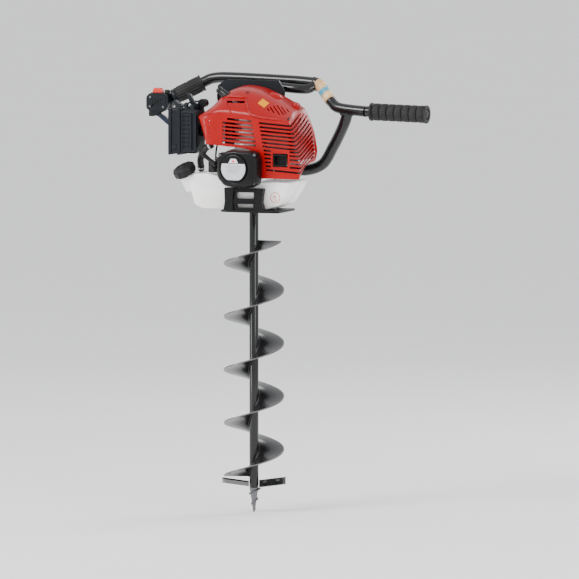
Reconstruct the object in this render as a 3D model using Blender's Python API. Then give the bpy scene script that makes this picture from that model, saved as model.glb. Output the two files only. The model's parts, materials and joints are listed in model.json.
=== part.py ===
"""Petrol auger: two-stroke powerhead, worm gearbox, handle frame and flighted bit.

Metres, +Z up. The bit's axis is X = Y = 0 and its pilot point stands at the origin.
The handle bar runs along X and the starter faces -Y.
"""
import math

import bmesh
import bpy
from mathutils import Matrix, Vector

# Driving dimensions
GAP = 0.0003                 # clearance left between pieces that touch
WALL = 0.0025                # moulded plastic wall

BIT_RADIUS = 0.0113
FLIGHT_RADIUS = 0.075
FLIGHT_PITCH = 0.131
FLIGHT_THICKNESS = 0.003
FLIGHT_START_Z = 0.0887
FLIGHT_START_ANGLE = math.radians(202)
FLIGHT_TURNS = 4.43
PILOT_LENGTH = 0.060
PILOT_PITCH = 0.0255
BIT_TOP = 0.785

CRANK = Vector((0.0315, 0.0, 0.861))     # the crank axis runs along Y through this point
GEAR_MODULE = 0.0015
WHEEL_TEETH = 30
WORM_RADIUS = 0.009
WHEEL_RADIUS = GEAR_MODULE * WHEEL_TEETH / 2
WORM_LEAD = math.pi * GEAR_MODULE

CYLINDER = Vector((0.0315, -0.110, 0.0))  # the cylinder's axis runs along Z through this point
TUBE_RADIUS = 0.0135

UP = Vector((0, 0, 1))
ALONG_X = Vector((1, 0, 0))
ALONG_Y = Vector((0, 1, 0))

FINISHES = {
    "red_plastic": ((0.72, 0.022, 0.018), 0.25, 0.0),
    "black_plastic": ((0.012, 0.012, 0.014), 0.45, 0.0),
    "blue_black_plastic": ((0.014, 0.018, 0.026), 0.40, 0.0),
    "tank_plastic": ((0.86, 0.86, 0.84), 0.35, 0.0),
    "grip_rubber": ((0.030, 0.030, 0.028), 0.75, 0.0),
    "black_paint": ((0.010, 0.010, 0.011), 0.20, 0.2),
    "cast_aluminium": ((0.55, 0.56, 0.58), 0.45, 0.9),
    "steel": ((0.45, 0.45, 0.46), 0.30, 1.0),
    "flight_paint": ((0.060, 0.062, 0.065), 0.35, 0.4),
    "foam": ((0.10, 0.10, 0.09), 0.95, 0.0),
    "porcelain": ((0.85, 0.85, 0.82), 0.20, 0.0),
    "rope_nylon": ((0.75, 0.74, 0.70), 0.80, 0.0),
}


def clear_scene():
    for item in list(bpy.data.objects):
        bpy.data.objects.remove(item, do_unlink=True)


def finish_of(name):
    material = bpy.data.materials.get(name)
    if material is None:
        color, roughness, metallic = FINISHES[name]
        material = bpy.data.materials.new(name)
        material.use_nodes = True
        shader = material.node_tree.nodes["Principled BSDF"]
        shader.inputs["Base Color"].default_value = (*color, 1.0)
        shader.inputs["Roughness"].default_value = roughness
        shader.inputs["Metallic"].default_value = metallic
        material.diffuse_color = (*color, 1.0)
    return material


def add_object(name, bm, finish, smooth_angle=35, origin=(0, 0, 0)):
    """Turn a bmesh in world coordinates into an object whose origin lies at the given point."""
    bmesh.ops.recalc_face_normals(bm, faces=bm.faces)
    bmesh.ops.translate(bm, verts=bm.verts, vec=-Vector(origin))
    mesh = bpy.data.meshes.new(name)
    bm.to_mesh(mesh)
    bm.free()
    mesh.shade_smooth()
    mesh.set_sharp_from_angle(angle=math.radians(smooth_angle))
    item = bpy.data.objects.new(name, mesh)
    item.location = origin
    item.data.materials.append(finish_of(finish))
    bpy.context.scene.collection.objects.link(item)
    return item


def axes_of(direction):
    """Two unit vectors that make a right-handed set with the direction."""
    direction = Vector(direction).normalized()
    helper = UP if abs(direction.z) < 0.9 else ALONG_X
    first = helper.cross(direction).normalized()
    return first, direction.cross(first)


def loft(rings, closed=False):
    """Skin a list of equal-length point rings; a closed loft joins its last ring to its first."""
    bm = bmesh.new()
    rows = [[bm.verts.new(point) for point in ring] for ring in rings]
    count = len(rows[0])
    pairs = list(zip(rows, rows[1:]))
    if closed:
        pairs.append((rows[-1], rows[0]))
    for lower, upper in pairs:
        for i in range(count):
            j = (i + 1) % count
            bm.faces.new((lower[i], lower[j], upper[j], upper[i]))
    if not closed:
        bm.faces.new(list(reversed(rows[0])))
        bm.faces.new(rows[-1])
    return bm


def turned_mesh(profile, centre, direction, sides=32, closed=False):
    """Turn (radius, distance along the axis) points about an axis."""
    centre = Vector(centre)
    direction = Vector(direction).normalized()
    first, second = axes_of(direction)
    rings = []
    for radius, along in profile:
        ring = []
        for i in range(sides):
            angle = 2 * math.pi * i / sides
            ring.append(centre + direction * along
                        + (first * math.cos(angle) + second * math.sin(angle)) * radius)
        rings.append(ring)
    return loft(rings, closed)


def turned(name, profile, centre, direction, finish, sides=32, closed=False, origin=(0, 0, 0)):
    return add_object(name, turned_mesh(profile, centre, direction, sides, closed), finish,
                      origin=origin)


def sleeve(name, inner, outer, low, high, centre, direction, finish, sides=32):
    profile = [(inner, low), (outer, low), (outer, high), (inner, high)]
    return turned(name, profile, centre, direction, finish, sides, closed=True)


def block_mesh(low, high, bevel=0.0, segments=1):
    bm = bmesh.new()
    low, high = Vector(low), Vector(high)
    bmesh.ops.create_cube(bm, size=1.0)
    bmesh.ops.scale(bm, vec=high - low, verts=bm.verts)
    bmesh.ops.translate(bm, vec=(low + high) / 2, verts=bm.verts)
    if bevel:
        bmesh.ops.bevel(bm, geom=list(bm.edges), offset=bevel, segments=segments, profile=0.5,
                        affect='EDGES')
    return bm


def block(name, low, high, finish, bevel=0.0, segments=1, origin=(0, 0, 0)):
    return add_object(name, block_mesh(low, high, bevel, segments), finish, origin=origin)


def prism_mesh(outline, low, high):
    """Extrude an outline of (x, z) points along Y."""
    rings = [[Vector((x, y, z)) for x, z in outline] for y in (low, high)]
    return loft(rings)


def prism(name, outline, low, high, finish, origin=(0, 0, 0)):
    return add_object(name, prism_mesh(outline, low, high), finish, origin=origin)


def cutter(bm):
    item = add_object("cutter", bm, "black_plastic")
    item.hide_render = True
    item.display_type = 'WIRE'
    return item


def boolean(item, bm, operation='DIFFERENCE'):
    """Apply one Boolean at once, so that no helper object is left in the scene."""
    helper = cutter(bm)
    modifier = item.modifiers.new("boolean", 'BOOLEAN')
    modifier.operation = operation
    modifier.solver = 'EXACT'
    modifier.object = helper
    bpy.context.view_layer.update()
    evaluated = item.evaluated_get(bpy.context.evaluated_depsgraph_get())
    mesh = bpy.data.meshes.new_from_object(evaluated)
    item.modifiers.remove(modifier)
    mesh.name = item.name
    material = finish_of(item.data.materials[0].name)
    item.data = mesh
    mesh.materials.clear()
    mesh.materials.append(material)
    bpy.data.objects.remove(helper, do_unlink=True)


def smooth_path(points, per_span=6):
    """Catmull-Rom points through a few hand-set ones."""
    points = [Vector(p) for p in points]
    ends = [2 * points[0] - points[1]] + points + [2 * points[-1] - points[-2]]
    path = []
    for a, b, c, d in zip(ends, ends[1:], ends[2:], ends[3:]):
        for i in range(per_span):
            t = i / per_span
            path.append(0.5 * ((2 * b) + (c - a) * t + (2 * a - 5 * b + 4 * c - d) * t * t
                               + (3 * b - a - 3 * c + d) * t ** 3))
    path.append(points[-1])
    return path


def tube(name, points, radius, finish, per_span=6, resolution=4):
    curve = bpy.data.curves.new(name, 'CURVE')
    curve.dimensions = '3D'
    curve.bevel_depth = radius
    curve.bevel_resolution = resolution
    curve.use_fill_caps = True
    curve.resolution_u = 1
    curve.render_resolution_u = 0
    path = smooth_path(points, per_span)
    spline = curve.splines.new('POLY')
    spline.points.add(len(path) - 1)
    for spot, point in zip(spline.points, path):
        spot.co = (*point, 1.0)
    curve.materials.append(finish_of(finish))
    item = bpy.data.objects.new(name, curve)
    bpy.context.scene.collection.objects.link(item)
    return item


def helix_ridge(radius_at, height, half_root, half_tip, lead, low, high, start, centre, direction,
                steps=16):
    """A thread: a four-cornered section carried up a helix of varying radius."""
    centre, direction = Vector(centre), Vector(direction).normalized()
    first, second = axes_of(direction)
    total = max(2, round(steps * (high - low) / lead))
    rings = []
    for i in range(total + 1):
        along = low + (high - low) * i / total
        angle = start + 2 * math.pi * along / lead
        outward = first * math.cos(angle) + second * math.sin(angle)
        root, tip = radius_at(along) - 0.0006, radius_at(along) + height(along)
        section = [(root, -half_root), (tip, -half_tip), (tip, half_tip), (root, half_root)]
        rings.append([centre + outward * r + direction * (along + z) for r, z in section])
    return loft(rings)


# ---------------------------------------------------------------- bit

def make_pilot_screw():
    def core(along):
        return 0.0022 + (BIT_RADIUS - 0.0024) * along / PILOT_LENGTH

    item = turned("pilot_screw", [(core(0), 0), (core(PILOT_LENGTH), PILOT_LENGTH)],
                  (0, 0, 0), UP, "steel", sides=16)

    def height(along):
        return 0.0010 + 0.0050 * along / PILOT_LENGTH

    boolean(item, helix_ridge(core, height, 0.0020, 0.0008, PILOT_PITCH, 0.006, 0.0575, 0.4,
                              (0, 0, 0), UP, steps=12), 'UNION')


def make_bit_shaft():
    low = PILOT_LENGTH + GAP
    turned("bit_shaft", [(BIT_RADIUS, low), (BIT_RADIUS, BIT_TOP)], (0, 0, 0), UP, "black_paint", 24)
    boolean(bpy.data.objects["bit_shaft"],
            turned_mesh([(0.0039, -0.03), (0.0039, 0.03)], (0, 0, 0.768), ALONG_X, 16))


def make_flight():
    steps = round(18 * FLIGHT_TURNS)
    half = FLIGHT_THICKNESS / 2
    inner = BIT_RADIUS + GAP
    rings = []
    for i in range(steps + 1):
        turn = FLIGHT_TURNS * i / steps
        angle = FLIGHT_START_ANGLE + 2 * math.pi * turn
        height = FLIGHT_START_Z + FLIGHT_PITCH * turn
        outward = Vector((math.cos(angle), math.sin(angle), 0))
        rings.append([outward * inner + UP * (height - half), outward * FLIGHT_RADIUS + UP * (height - half),
                      outward * FLIGHT_RADIUS + UP * (height + half), outward * inner + UP * (height + half)])
    add_object("auger_flight", loft(rings), "flight_paint")


def make_cutter(name, angle, inner_z, outer_z):
    """A wedge blade from the shaft outwards; its sharp edge leads when the bit turns clockwise."""
    outward = Vector((math.cos(angle), math.sin(angle), 0))
    leading = outward.cross(UP)
    rings = []
    for radius, z in ((BIT_RADIUS + 0.0012, inner_z), (0.078, outer_z)):
        spots = [(0.013, -0.008), (0.0145, -0.0055), (-0.010, 0.008), (-0.0135, 0.0045)]
        rings.append([outward * radius + leading * t + UP * (z + dz) for t, dz in spots])
    add_object(name, loft(rings), "steel")


def make_coupling():
    sleeve("drive_coupling", BIT_RADIUS + GAP, 0.018, 0.742, 0.812, (0, 0, 0), UP, "cast_aluminium", 20)
    pin_hole = turned_mesh([(0.0039, -0.03), (0.0039, 0.03)], (0, 0, 0.768), ALONG_X, 16)
    boolean(bpy.data.objects["drive_coupling"], pin_hole)
    turned("coupling_pin", [(0.0035, -0.022), (0.0035, 0.022)], (0, 0, 0.768), ALONG_X, "steel", 16)
    turned("output_shaft", [(BIT_RADIUS, BIT_TOP + GAP), (BIT_RADIUS, 0.814), (0.009, 0.816), (0.009, 0.8962)],
           (0, 0, 0), UP, "steel", 24)


def make_worm_wheel():
    """Slanted teeth, with more backlash than a cut gear would have."""
    root, tip = WHEEL_RADIUS - 0.0017, WHEEL_RADIUS + 0.0012
    rings = []
    for z, twist in ((-0.005, -1.06), (0.005, 1.06)):
        ring = []
        for k in range(WHEEL_TEETH):
            middle = 3.0 + 360.0 / WHEEL_TEETH * k + twist
            for radius, offset in ((root, -3.5), (tip, -1.0), (tip, 1.0), (root, 3.5)):
                angle = math.radians(middle + offset)
                ring.append(Vector((radius * math.cos(angle), radius * math.sin(angle), CRANK.z + z)))
        rings.append(ring)
    item = add_object("worm_wheel", loft(rings), "steel", 25)
    boolean(item, turned_mesh([(0.0093, -0.01), (0.0093, 0.01)], (0, 0, CRANK.z), UP, 24))


def make_worm():
    core = [(0.006, -0.0475), (0.006, -0.014), (0.0073, -0.013), (0.0073, 0.013), (0.006, 0.014),
            (0.006, 0.034)]
    item = turned("worm", core, CRANK, ALONG_Y, "steel", 16)
    first, _ = axes_of(ALONG_Y)
    toward_wheel = math.atan2(ALONG_Y.cross(first).dot(-ALONG_X), first.dot(-ALONG_X))
    start = toward_wheel + 2 * math.pi * 0.25
    ridge = helix_ridge(lambda y: 0.0073, lambda y: 0.0029, 0.0014, 0.0004, WORM_LEAD, -0.0106, 0.0106,
                        start, CRANK, ALONG_Y, steps=10)
    boolean(item, ridge, 'UNION')


# ---------------------------------------------------------------- clutch and crank

def make_clutch():
    drum = [(0.0064, -0.0510), (0.0275, -0.0510), (0.0275, -0.076), (0.030, -0.076), (0.030, -0.048),
            (0.0064, -0.048)]
    turned("clutch_drum", drum, CRANK, ALONG_Y, "steel", 20, closed=True)
    for name, middle in (("clutch_shoe_1", 90), ("clutch_shoe_2", 270)):
        outline = []
        for radius, sweep in ((0.0255, 1), (0.0135, -1)):
            for i in range(9):
                angle = math.radians(middle + sweep * (-75 + 150 * i / 8))
                outline.append((CRANK.x + radius * math.cos(angle), CRANK.z + radius * math.sin(angle)))
        prism(name, outline, -0.073, -0.057, "cast_aluminium")


def make_crank():
    turned("crank_rear", [(0.024, -0.1025), (0.024, -0.0940), (0.007, -0.0935), (0.007, -0.0770),
                          (0.0125, -0.0765), (0.0125, -0.0540)], CRANK, ALONG_Y, "steel", 18)
    turned("crank_front", [(0.024, -0.1180), (0.024, -0.1265), (0.007, -0.1270), (0.007, -0.1795)],
           CRANK, ALONG_Y, "steel", 18)


def make_flywheel():
    vanes, inner, outer = 12, 0.026, 0.0385
    star, disc = [], []
    for k in range(vanes):
        for offset, radius in ((-12, inner), (-5, outer), (3, outer), (6, inner)):
            angle = math.radians(360.0 / vanes * k + offset)
            spot = Vector((math.cos(angle), 0, math.sin(angle)))
            star.append(spot * radius)
            disc.append(spot * 0.040)
    rings = [[CRANK + ALONG_Y * y + spot for spot in ring]
             for y, ring in ((-0.168, star), (-0.153, star), (-0.1528, disc), (-0.146, disc))]
    item = add_object("flywheel_fan", loft(rings), "cast_aluminium", 25)
    boolean(item, turned_mesh([(0.0073, -0.18), (0.0073, -0.14)], CRANK, ALONG_Y, 20))


def make_piston_set():
    axis = Vector((CYLINDER.x, CYLINDER.y, 0))
    cup = [(0.0145, 0.957), (0.0145, 0.930), (0.0166, 0.930), (0.0166, 0.962)]
    turned("piston", cup, axis, UP, "cast_aluminium", 20)
    rod = [(0.0255, 0.8675), (0.0375, 0.8675), (0.0385, 0.8825), (0.0345, 0.888), (0.0345, 0.946),
           (0.0285, 0.946), (0.0285, 0.888), (0.0245, 0.8825)]
    item = prism("connecting_rod", rod, -0.1145, -0.1055, "steel")
    wrist = turned_mesh([(0.004, -0.0135), (0.004, 0.0135)], (CYLINDER.x, CYLINDER.y, 0.941), ALONG_Y, 14)
    boolean(item, wrist, 'UNION')


def make_crankcase():
    outline = [(-0.004, 0.846), (0.012, 0.829), (0.051, 0.829), (0.067, 0.846), (0.067, 0.880),
               (0.058, 0.892), (0.005, 0.892), (-0.004, 0.880)]
    item = prism("crankcase", outline, -0.1365, -0.0835, "cast_aluminium")
    boolean(item, turned_mesh([(0.027, -0.1290), (0.027, -0.0915)], CRANK, ALONG_Y, 28))
    boolean(item, turned_mesh([(0.0078, -0.15), (0.0078, -0.08)], CRANK, ALONG_Y, 20))
    boolean(item, turned_mesh([(0.0172, 0.87), (0.0172, 0.90)], CYLINDER, UP, 24))


def make_cylinder():
    profile = [(0.0172, 0.8923), (0.0245, 0.8923), (0.0245, 0.914)]
    low = 0.914
    for _ in range(4):
        profile += [(0.035, low), (0.035, low + 0.0035), (0.0235, low + 0.0040), (0.0235, low + 0.0145)]
        low += 0.0150
    profile += [(0.035, low), (0.035, low + 0.003), (0.014, low + 0.004), (0.014, low + 0.0105),
                (0.0030, low + 0.0105), (0.0030, 0.968), (0.0172, 0.968)]
    turned("cylinder", profile, CYLINDER, UP, "cast_aluminium", 18, closed=True)


BOOT_END = Vector((-0.051, -0.110, 1.0478))
PLUG_AXIS = Vector((0.83, 0.0, -0.558))


def make_spark_plug():
    boot = [(0.005, 0.0), (0.0075, 0.003), (0.0080, 0.028), (0.0095, 0.034), (0.0095, 0.050)]
    turned("plug_boot", boot, BOOT_END, PLUG_AXIS, "black_plastic", 20)
    plug = [(0.0045, 0.0503), (0.0050, 0.068), (0.0085, 0.070), (0.0085, 0.078), (0.0050, 0.080),
            (0.0050, 0.094)]
    turned("spark_plug", plug, BOOT_END, PLUG_AXIS, "porcelain", 20)


def make_housings():
    half = 0.0435
    square = rounded_square(CRANK.x, CRANK.z, half, 0.016)
    item = prism("fan_housing", square, -0.1740, -0.1370, "cast_aluminium")
    boolean(item, turned_mesh([(0.0412, -0.18), (0.0412, -0.1420)], CRANK, ALONG_Y, 36))
    boolean(item, turned_mesh([(0.0085, -0.15), (0.0085, -0.13)], CRANK, ALONG_Y, 20))
    clutch = [(0.033, -0.083), (0.038, -0.083), (0.038, -0.0405), (0.0085, -0.0405), (0.0085, -0.0445),
              (0.033, -0.0445)]
    turned("clutch_housing", clutch, CRANK, ALONG_Y, "cast_aluminium", 24, closed=True)


def rounded_square(x, z, half, corner):
    """An octagon-like outline: a square with its corners cut off."""
    inner = half - corner
    return [(x - half, z - inner), (x - inner, z - half), (x + inner, z - half), (x + half, z - inner),
            (x + half, z + inner), (x + inner, z + half), (x - inner, z + half), (x - half, z + inner)]


# ---------------------------------------------------------------- recoil starter

def make_starter():
    outline = [(-0.016, 0.838), (0.004, 0.8155), (0.068, 0.8125), (0.091, 0.824), (0.093, 0.884),
               (0.078, 0.904), (0.008, 0.9045), (-0.016, 0.886)]
    item = prism("starter_housing", outline, -0.2080, -0.1745, "black_plastic")
    boolean(item, turned_mesh([(0.0330, -0.2030), (0.0330, -0.17)], CRANK, ALONG_Y, 32))
    rope_hole = turned_mesh([(0.0032, -0.07), (0.0032, 0.01)], (0.030, -0.1925, CRANK.z + 0.020), ALONG_X, 12)
    boolean(item, rope_hole)
    face = turned_mesh([(0.041, -0.2079), (0.041, -0.2092), (0.038, -0.2110)], CRANK, ALONG_Y, 32)
    boolean(item, face, 'UNION')
    pulley = [(0.0042, -0.2000), (0.0285, -0.2000), (0.0285, -0.1975), (0.0180, -0.1955), (0.0180, -0.1895),
              (0.0285, -0.1875), (0.0285, -0.1850), (0.0042, -0.1850)]
    turned("starter_pulley", pulley, CRANK, ALONG_Y, "black_plastic", 20, closed=True)


def make_pull_handle():
    centre = Vector((-0.0395, -0.1925, CRANK.z + 0.020))
    along = Vector((0.80, 0.0, -0.60))
    bar = [(0.0045, -0.0240), (0.0062, -0.0205), (0.0062, 0.0205), (0.0045, 0.0240)]
    turned("pull_handle", bar, centre, along, "black_plastic", 16)
    turned("starter_rope", [(0.0017, 0.0134), (0.0017, 0.0430)], centre, ALONG_X,
           "rope_nylon", 8)


# ---------------------------------------------------------------- intake side

def make_intake():
    bore = turned_mesh([(0.009, -0.12), (0.009, 0.0)], (0, -0.115, 0.945), ALONG_X, 20)
    item = block("intake_insulator", (-0.0220, -0.135, 0.925), (-0.0040, -0.095, 0.965),
                 "black_plastic", 0.003)
    boolean(item, bore)
    item = block("carburettor", (-0.0655, -0.137, 0.920), (-0.0223, -0.093, 0.968), "cast_aluminium", 0.004)
    boolean(item, turned_mesh([(0.009, -0.12), (0.009, 0.0)], (0, -0.115, 0.945), ALONG_X, 20))
    boolean(item, turned_mesh([(0.0026, 0.0), (0.0026, 0.06)], (-0.044, -0.115, 0.930), UP, 12))
    valve = turned("throttle_valve", [(0.0082, -0.0007), (0.0082, 0.0007)], (-0.044, -0.115, 0.945),
                   ALONG_X, "steel", 20, origin=(-0.044, -0.115, 0.945))
    shaft = turned_mesh([(0.0021, 0.9355), (0.0021, 0.9720)], (-0.044, -0.115, 0), UP, 12)
    boolean(valve, shaft, 'UNION')
    lever = block_mesh((-0.0475, -0.1185, 0.9688), (-0.0405, -0.0990, 0.9712))
    boolean(valve, lever, 'UNION')


FILTER_LOW = Vector((-0.132, -0.150, 0.890))
FILTER_HIGH = Vector((-0.091, -0.090, 0.997))


def make_air_cleaner():
    item = block("air_cleaner_base", FILTER_LOW, FILTER_HIGH, "blue_black_plastic", 0.004)
    for i in range(3):
        x = FILTER_LOW.x + 0.010 + 0.0105 * i
        for side in (FILTER_LOW.y - 0.0021, FILTER_HIGH.y - 0.0009):
            boolean(item, block_mesh((x, side, FILTER_LOW.z + 0.01),
                                     (x + 0.004, side + 0.003, FILTER_HIGH.z - 0.01)))
    boolean(item, block_mesh((-0.140, -0.1465, 0.8935), (-0.0975, -0.0935, 0.9935)))
    snout = turned_mesh([(0.0145, -0.0335), (0.0145, -0.0056)], (-0.0602, -0.115, 0.945), ALONG_X, 24)
    boolean(item, snout, 'UNION')
    boolean(item, turned_mesh([(0.009, -0.12), (0.009, 0.0)], (0, -0.115, 0.945), ALONG_X, 20))
    bracket = turned_mesh([(0.0085, -0.009), (0.0105, -0.007), (0.0105, 0.007), (0.0085, 0.009)],
                          (-0.0905, -0.1010, 1.0110), ALONG_Y, 16)
    boolean(item, block_mesh((-0.0960, -0.1060, 0.9945), (-0.0920, -0.0960, 1.0080)), 'UNION')
    boolean(item, bracket, 'UNION')
    block("air_filter_element", (-0.1310, -0.1440, 0.8960), (-0.1040, -0.0960, 0.9910), "foam")
    item = block("filter_cover", (-0.1640, -0.1535, 0.886), (-0.1323, -0.0865, 1.000),
                 "blue_black_plastic", 0.005)
    boolean(item, block_mesh((-0.1605, -0.1495, 0.890), (-0.1300, -0.0905, 0.996)))


def make_choke_and_clip():
    pivot = Vector((-0.104, -0.120, 1.0050))
    outline = [(-0.1075, 0.9990), (-0.1005, 0.9990), (-0.0970, 1.0030), (-0.0975, 1.0090), (-0.1060, 1.0130),
               (-0.1180, 1.0340), (-0.1280, 1.0340), (-0.1170, 1.0100), (-0.1110, 1.0030)]
    prism("choke_lever", outline, pivot.y - 0.004, pivot.y + 0.004, "blue_black_plastic", origin=pivot)
    hinge = Vector((-0.1365, -0.1350, 1.0060))
    clip = [(-0.1480, 1.0015), (-0.1395, 1.0015), (-0.1345, 1.0020), (-0.1320, 1.0060), (-0.1335, 1.0095),
            (-0.1400, 1.0110), (-0.1500, 1.0190), (-0.1545, 1.0170)]
    prism("filter_clip", clip, hinge.y - 0.009, hinge.y + 0.009, "blue_black_plastic", origin=hinge)


# ---------------------------------------------------------------- exhaust side

def make_exhaust():
    item = block("muffler", (0.090, -0.158, 0.866), (0.155, -0.084, 0.950), "steel", 0.008)
    boolean(item, turned_mesh([(0.010, 0.0670), (0.010, 0.0920)], (0, -0.115, 0.930), ALONG_X, 20), 'UNION')
    item = block("exhaust_outlet", (0.122, -0.1730, 0.868), (0.155, -0.1583, 0.895), "black_plastic", 0.002)
    boolean(item, block_mesh((0.125, -0.18, 0.871), (0.152, -0.1620, 0.892)))


# ---------------------------------------------------------------- cover

FRONT_Y, NOSE_Y, CREST_Y, REAR_Y = -0.170, -0.161, -0.112, -0.038

# Matching corners of the cover's front face and of its rear edge, right foot to left foot (x, z)
COVER_FRONT = [(0.190, 0.836), (0.190, 0.858), (0.177, 0.915), (0.162, 0.972), (0.136, 0.980),
               (0.100, 0.985), (0.066, 0.991), (0.020, 0.995), (-0.023, 1.000), (-0.048, 0.993),
               (-0.064, 0.981), (-0.061, 0.968), (-0.060, 0.916)]
COVER_REAR = [(0.172, 0.874), (0.182, 0.900), (0.178, 0.950), (0.161, 1.003), (0.130, 1.019),
              (0.094, 1.036), (0.050, 1.051), (0.006, 1.0575), (-0.030, 1.048), (-0.054, 1.020),
              (-0.068, 0.994), (-0.066, 0.976), (-0.063, 0.921)]
COVER_FOOT = [(0.079, 0.906), (0.079, 0.836)]


def mix_outline(first, second, t):
    return [((1 - t) * a + t * c, (1 - t) * b + t * d) for (a, b), (c, d) in zip(first, second)]


def make_top_cover():
    nose = mix_outline(COVER_REAR, COVER_FRONT, 0.80)
    nose[10], nose[11] = (-0.083, 0.985), (-0.079, 0.973)
    middle = mix_outline(COVER_REAR, COVER_FRONT, 0.12)
    inset = [(x + (0.055 - x) * 0.02, z + (0.92 - z) * 0.02) for x, z in COVER_FRONT]
    inset[0] = (inset[0][0], COVER_FRONT[0][1])
    inset[-1] = (inset[-1][0], COVER_FRONT[-1][1])
    bm = bmesh.new()
    rows = [[bm.verts.new((x, y, z)) for x, z in outline]
            for y, outline in ((REAR_Y, COVER_REAR), (CREST_Y, middle), (NOSE_Y, nose), (FRONT_Y, inset))]
    for back, front in zip(rows, rows[1:]):
        for i in range(len(back) - 1):
            bm.faces.new((back[i], back[i + 1], front[i + 1], front[i]))
    foot = [bm.verts.new((x, FRONT_Y, z)) for x, z in COVER_FOOT]
    bm.faces.new(rows[-1] + foot)
    bmesh.ops.recalc_face_normals(bm, faces=bm.faces)
    if sum(face.normal.y for face in bm.faces if len(face.verts) > 4) > 0:
        bmesh.ops.reverse_faces(bm, faces=bm.faces)
    bmesh.ops.triangulate(bm, faces=[face for face in bm.faces if len(face.verts) == 4])
    item = cover_shell(bm)
    cut_cover(item)


def cover_shell(bm):
    """Thicken the skin inwards into one closed wall."""
    mesh = bpy.data.meshes.new("top_cover")
    bm.to_mesh(mesh)
    bm.free()
    item = bpy.data.objects.new("top_cover", mesh)
    mesh.materials.append(finish_of("red_plastic"))
    bpy.context.scene.collection.objects.link(item)
    solid = item.modifiers.new("wall", 'SOLIDIFY')
    solid.thickness = WALL
    solid.offset = -1
    solid.use_even_offset = True
    bpy.context.view_layer.update()
    evaluated = item.evaluated_get(bpy.context.evaluated_depsgraph_get())
    thick = bpy.data.meshes.new_from_object(evaluated)
    item.modifiers.clear()
    split_faces(thick)
    item.data = thick
    thick.name = "top_cover"
    return item


def split_faces(mesh):
    """Cut every face into triangles, so that a later Boolean meets only flat ones."""
    bm = bmesh.new()
    bm.from_mesh(mesh)
    bmesh.ops.triangulate(bm, faces=bm.faces)
    bm.to_mesh(mesh)
    bm.free()


def cut_cover(item):
    cuts = [block_mesh((-0.13, -0.152, 0.80), (-0.030, 0.0, 0.9705)),
            block_mesh((0.119, -0.18, 0.865), (0.158, -0.160, 0.898)),
            turned_mesh([(0.0125, -0.02), (0.0125, 0.055)], BOOT_END, PLUG_AXIS, 16)]
    for i in range(6):
        z = 0.925 + 0.0098 * i
        cuts.append(block_mesh((-0.022, -0.18, z), (0.060, -0.160, z + 0.0048)))
    for i in range(13):
        z = 0.846 + 0.0093 * i
        if not 0.860 < z < 0.900:
            cuts.append(block_mesh((0.088, -0.18, z), (0.155, -0.160, z + 0.0045)))
    for bm in cuts:
        boolean(item, bm)
        split_faces(item.data)
    item.data.shade_smooth()
    item.data.set_sharp_from_angle(angle=math.radians(30))


# ---------------------------------------------------------------- fuel tank and stand

CAP_CENTRE = Vector((-0.122, -0.150, 0.849))
CAP_AXIS = Vector((-0.30, -0.42, 0.856)).normalized()


def make_tank():
    outline = [(-0.075, 0.7575), (0.094, 0.7575), (0.128, 0.768), (0.151, 0.800), (0.165, 0.828),
               (0.078, 0.828), (0.074, 0.8155), (-0.013, 0.8155), (-0.018, 0.838), (-0.060, 0.845),
               (-0.104, 0.842), (-0.112, 0.828), (-0.094, 0.766)]
    item = prism("fuel_tank", outline, -0.159, -0.047, "tank_plastic")
    bevel = item.modifiers.new("edges", 'BEVEL')
    bevel.width = 0.006
    bevel.segments = 2
    bevel.limit_method = 'ANGLE'
    bevel.angle_limit = math.radians(25)
    neck = turned_mesh([(0.0200, -0.050), (0.0200, -0.0103)], CAP_CENTRE, CAP_AXIS, 24)
    boolean(item, neck, 'UNION')
    item.modifiers.clear()
    cap = [(0.0270, -0.0100), (0.0290, -0.0080), (0.0290, 0.0080), (0.0265, 0.0105)]
    turned("fuel_cap", cap, CAP_CENTRE, CAP_AXIS, "black_plastic", 20, origin=CAP_CENTRE)


def make_stand():
    low, high = (-0.008, -0.1780, 0.7545), (0.099, -0.1640, 0.8118)
    item = block("tank_stand", low, high, "black_plastic", 0.002)
    for bottom, top in ((0.7625, 0.7725), (0.7855, 0.8015)):
        boolean(item, block_mesh((0.024, -0.19, bottom), (0.070, -0.15, top)))
    boolean(item, block_mesh((-0.018, -0.180, 0.7520), (0.136, -0.060, 0.7569)), 'UNION')


def make_fuel_parts():
    tube("vent_hose", [(-0.096, -0.106, 0.8490), (-0.088, -0.128, 0.8780), (-0.068, -0.146, 0.9030),
                       (-0.050, -0.150, 0.9130)], 0.0085, "black_plastic", per_span=3, resolution=3)
    item = block("primer_base", (-0.054, -0.1640, 0.8465), (-0.028, -0.1500, 0.8740), "black_plastic", 0.002)
    boolean(item, turned_mesh([(0.0096, -0.1700), (0.0096, -0.1590)], (-0.041, 0, 0.8600), ALONG_Y, 18))
    bulb = [(0.0090, -0.1643), (0.0090, -0.1690), (0.0070, -0.1740), (0.0035, -0.1765)]
    turned("primer_bulb", bulb, (-0.041, 0, 0.8600), ALONG_Y, "grip_rubber", 18)
    tube("fuel_line", [(-0.041, -0.150 + 0.0003 + 0.0025, 0.8745), (-0.043, -0.140, 0.8900),
                       (-0.046, -0.128, 0.9050), (-0.044, -0.122, 0.9190)], 0.0022, "black_plastic",
         per_span=3, resolution=2)


# ---------------------------------------------------------------- gearbox

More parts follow.
